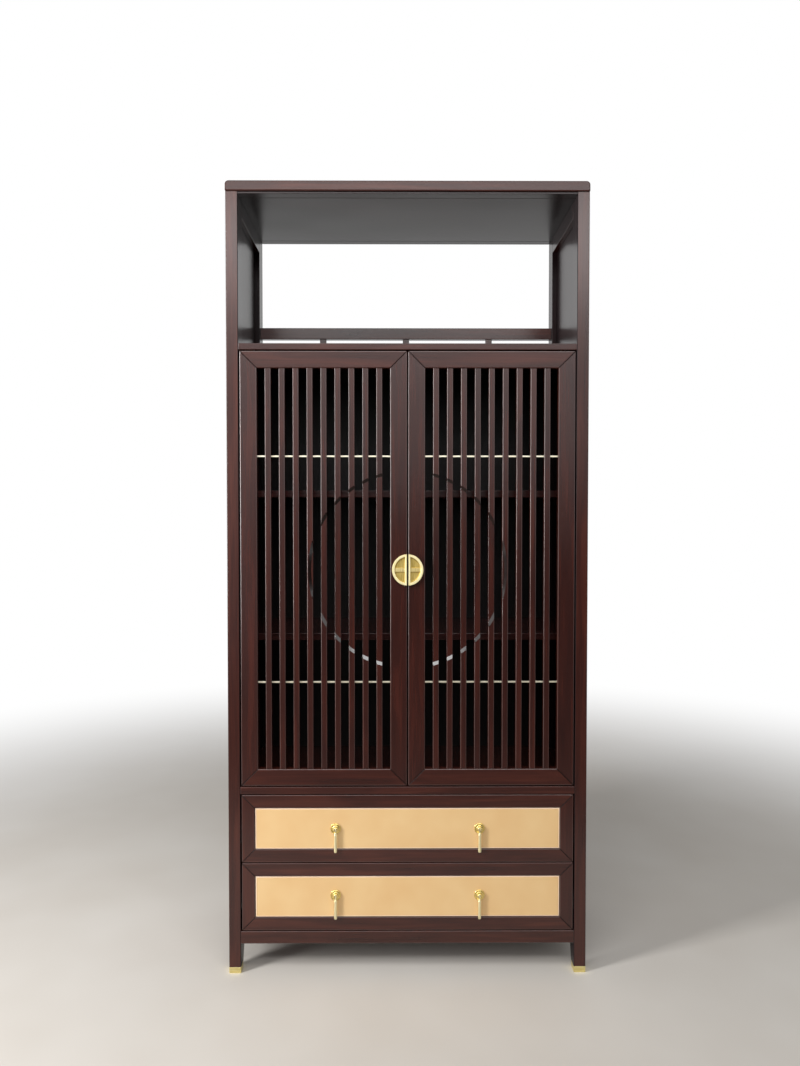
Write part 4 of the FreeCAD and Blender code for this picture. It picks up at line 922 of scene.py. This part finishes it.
def stitches(level, thread):
    """A row of short stitches along each side of the seam in a leather face."""
    low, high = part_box("drawer_%s_leather_panel" % level)
    inset = WELT_WIDTH + SEAM_WIDTH / 2
    depth = low.y + SEAM_DEPTH - THREAD_RADIUS / 2
    shape = bmesh.new()
    for along, across in ((X, Z), (Z, X)):
        length = high[along] - low[along] - 2 * inset
        count = round(length / STITCH_PITCH)
        size = [THREAD_RADIUS, THREAD_RADIUS, THREAD_RADIUS, 1]
        size[along] = STITCH_LENGTH / 2
        for number in range(count):
            for border in (low[across] + inset, high[across] - inset):
                place = [0, depth, 0]
                place[along] = low[along] + inset + (number + 0.5) * length / count
                place[across] = border
                bmesh.ops.create_uvsphere(shape, u_segments=STITCH_SIDES, v_segments=STITCH_RINGS,
                                          radius=1, matrix=Matrix.Translation(place)
                                          @ Matrix.Diagonal(size))
    piece = new_piece("drawer_%s_stitches" % level, shape, thread)
    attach(piece, "drawer_" + level)


hide = tan_leather("leather_tan_smooth_grain", LEATHER_DEEP, LEATHER_PALE)
# Where the hide folds over the board's edge, it is painted paler, a painted highlight.
fold_painted_highlight = tan_leather("leather_tan_fold_painted_highlight", FOLD_PAINTED_HIGHLIGHT_DEEP, FOLD_PAINTED_HIGHLIGHT_PALE)
# Waxed linen is pale and dull, and its twisted plies make it lighter and darker along the stitch.
thread, tree, shader = start_material("linen_thread_waxed", {"Roughness": THREAD_ROUGHNESS})
place = add_node(tree, "TexCoord").outputs["Object"]
twist = add_node(tree, "TexNoise", {"Scale": 1 / THREAD_TWIST}, {"Vector": place})
tone = add_node(tree, "ValToRGB", links={"Fac": twist.outputs["Fac"]},
                stops=zip(NOISE_ENDS, (THREAD_DEEP, THREAD_PALE)))
tree.links.new(tone.outputs["Color"], shader.inputs["Base Color"])
for level in ("lower", "upper"):
    leather_face(level, hide, fold_painted_highlight)
    stitches(level, thread)

# Rosettes of the drop pulls: discs with a beaded rim and a round boss, turned from brass bar and
# polished, so they gleam sharply. The boss is slotted for the tongue of the pull, and a hinge pin
# crosses the slot. Profiles are (radius, height) pairs in millimetres.
ROSETTE_PROFILE = ((0, 0), (13.2, 0), (13.5, 0.4), (13.5, 1.3), (13.2, 2.2), (12.6, 2.8), (11.8, 3.0),
                   (11.0, 2.8), (10.4, 2.2), (9.6, 1.8), (8.6, 1.8), (7.6, 2.2), (6.9, 3.0), (6.5, 4.0),
                   (6.5, 7.6), (6.3, 8.8), (5.7, 9.9), (4.8, 10.6), (3.6, 11.0), (2.7, 11.0),
                   (2.2, 10.6), (2.2, 8.0), (0, 8.0))
SLOT_WIDTH = 3.6 * MM
SLOT_TOP = 3 * MM
SLOT_FLOOR = 2.8 * MM
HINGE_RADIUS = 1.2 * MM
HINGE_LENGTH = 4.8 * MM
HINGE_LIFT = 4 * MM
HINGE_STEPS = 24
TURNING_STEPS = 64
TURNED_SHARP = math.radians(50)
TURNED_DEEP = "#DCC06E"
TURNED_BRIGHT = "#F8E7A8"
TURNED_ROUGHNESS = 0.22
turned_brass = brushed_brass("brass_turned_and_polished", "z", TURNED_ROUGHNESS, TURNED_DEEP,
                             TURNED_BRIGHT)


def turn_profile(shape, profile, axis, place):
    """Spins a closed profile, in millimetres, about an axis through a place."""
    across = Vector((1, 0, 0))
    verts = [shape.verts.new(across * (radius * MM) + axis * (height * MM))
             for radius, height in profile]
    edges = [shape.edges.new(pair) for pair in zip(verts, verts[1:])]
    bmesh.ops.spin(shape, geom=verts + edges, cent=(0, 0, 0), axis=axis, dvec=(0, 0, 0),
                   angle=2 * math.pi, steps=TURNING_STEPS, use_merge=True)
    bmesh.ops.remove_doubles(shape, verts=shape.verts, dist=WELD)
    bmesh.ops.translate(shape, verts=shape.verts, vec=place)
    bmesh.ops.recalc_face_normals(shape, faces=shape.faces)


def rosette(level, side, sign):
    """One turned rosette with its slot cut and its hinge pin across."""
    low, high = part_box("drawer_%s_rosettes" % level)
    radius = (high.z - low.z) / 2
    middle = Vector((sign * (high.x - radius), high.y, (low.z + high.z) / 2))
    shape = bmesh.new()
    turn_profile(shape, ROSETTE_PROFILE, Vector((0, -1, 0)), middle)
    name = "rosette_%s_%s" % (level, side)
    piece = new_piece(name, shape, turned_brass)
    slot = bmesh.new()
    depth = high.y - low.y
    size = (SLOT_WIDTH, depth, radius + SLOT_TOP)
    centre = middle + Vector((0, -SLOT_FLOOR - depth / 2, (SLOT_TOP - radius) / 2))
    bmesh.ops.create_cube(slot, size=1,
                          matrix=Matrix.Translation(centre) @ Matrix.Diagonal((*size, 1)))
    cut_away(piece, new_piece(name + "_slot", slot))
    pinned = bmesh.new()
    pinned.from_mesh(piece.data)
    hinge = Matrix.Translation((middle.x, low.y + HINGE_LIFT, middle.z))
    bmesh.ops.create_cone(pinned, cap_ends=True, segments=HINGE_STEPS, radius1=HINGE_RADIUS,
                          radius2=HINGE_RADIUS, depth=HINGE_LENGTH,
                          matrix=hinge @ Matrix.Rotation(QUARTER_TURN, 4, "Y"))
    pinned.to_mesh(piece.data)
    pinned.free()
    piece.data.shade_smooth()
    piece.data.set_sharp_from_angle(angle=TURNED_SHARP)
    return piece


for level in ("lower", "upper"):
    pair = [rosette(level, side, sign) for side, sign in (("left", -1), ("right", 1))]
    for piece in pair:
        stand_in(piece, "drawer_%s_rosettes" % level)

# Drop pulls: a brass bar, turned with a bead at its neck and a thicker end and rubbed to a soft
# gleam. It hangs from the hinge pin by a flat tongue with a drilled eye.
DROP_PROFILE = ((0, 8.5), (3.0, 8.5), (3.5, 8.8), (3.7, 9.5), (3.5, 10.3), (3.3, 11.0), (3.4, 11.8),
                (3.8, 12.7), (4.1, 13.8), (4.1, 15.2), (4.0, 16.4), (3.8, 17.6), (3.8, 19.0),
                (4.0, 46.0), (4.0, 49.6), (4.05, 50.2), (4.2, 50.7), (4.2, 51.5), (4.2, 55.8),
                (4.0, 57.0), (3.5, 57.9), (2.5, 58.4), (0, 58.5))
TONGUE_WIDTH = 5.6 * MM
TONGUE_THICKNESS = 3 * MM
TONGUE_REACH = 9.3 * MM
TONGUE_STEPS = 32
EYE_RADIUS = 1.3 * MM
EYE_STEPS = 24
BAR_DEEP = "#F3E3A6"
BAR_BRIGHT = "#FFFADA"
BAR_ROUGHNESS = 0.4
bar_brass = brushed_brass("brass_turned_bar_polished", "z", BAR_ROUGHNESS, BAR_DEEP, BAR_BRIGHT)


def drop_pull(level, side):
    """The hanging bar and its tongue, at rest below the hinge pin."""
    node = "drop_pull_%s_%s" % (level, side)
    low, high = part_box(node)
    hinge = Vector(((low.x + high.x) / 2, (low.y + high.y) / 2, high.z - TONGUE_WIDTH / 2))
    shape = bmesh.new()
    turn_profile(shape, DROP_PROFILE, Vector((0, 0, -1)), hinge)
    tongue = bmesh.new()
    upright = Matrix.Rotation(QUARTER_TURN, 4, "Y")
    bmesh.ops.create_circle(tongue, segments=TONGUE_STEPS, radius=TONGUE_WIDTH / 2, matrix=upright)
    for vert in tongue.verts:
        if vert.co.z < -WELD:
            vert.co.z = -TONGUE_REACH
            vert.co.y = math.copysign(TONGUE_WIDTH / 2, vert.co.y)
    bmesh.ops.remove_doubles(tongue, verts=tongue.verts, dist=WELD)
    outer = list(tongue.edges)
    bmesh.ops.create_circle(tongue, segments=EYE_STEPS, radius=EYE_RADIUS, matrix=upright)
    inner = [edge for edge in tongue.edges if edge not in outer]
    bmesh.ops.bridge_loops(tongue, edges=outer + inner)
    walls = bmesh.ops.extrude_face_region(tongue, geom=list(tongue.faces), use_keep_orig=True)["geom"]
    bmesh.ops.translate(tongue, verts=[item for item in walls if isinstance(item, bmesh.types.BMVert)],
                        vec=(TONGUE_THICKNESS, 0, 0))
    bmesh.ops.translate(tongue, verts=tongue.verts, vec=hinge - Vector((TONGUE_THICKNESS / 2, 0, 0)))
    bmesh.ops.recalc_face_normals(tongue, faces=tongue.faces)
    mesh = bpy.data.meshes.new("tongue")
    tongue.to_mesh(mesh)
    tongue.free()
    shape.from_mesh(mesh)
    bpy.data.meshes.remove(mesh)
    piece = new_piece("drop_pull_bar_%s_%s" % (level, side), shape, bar_brass, sharp=TURNED_SHARP)
    stand_in(piece, node)


for level in ("lower", "upper"):
    for side in ("left", "right"):
        drop_pull(level, side)
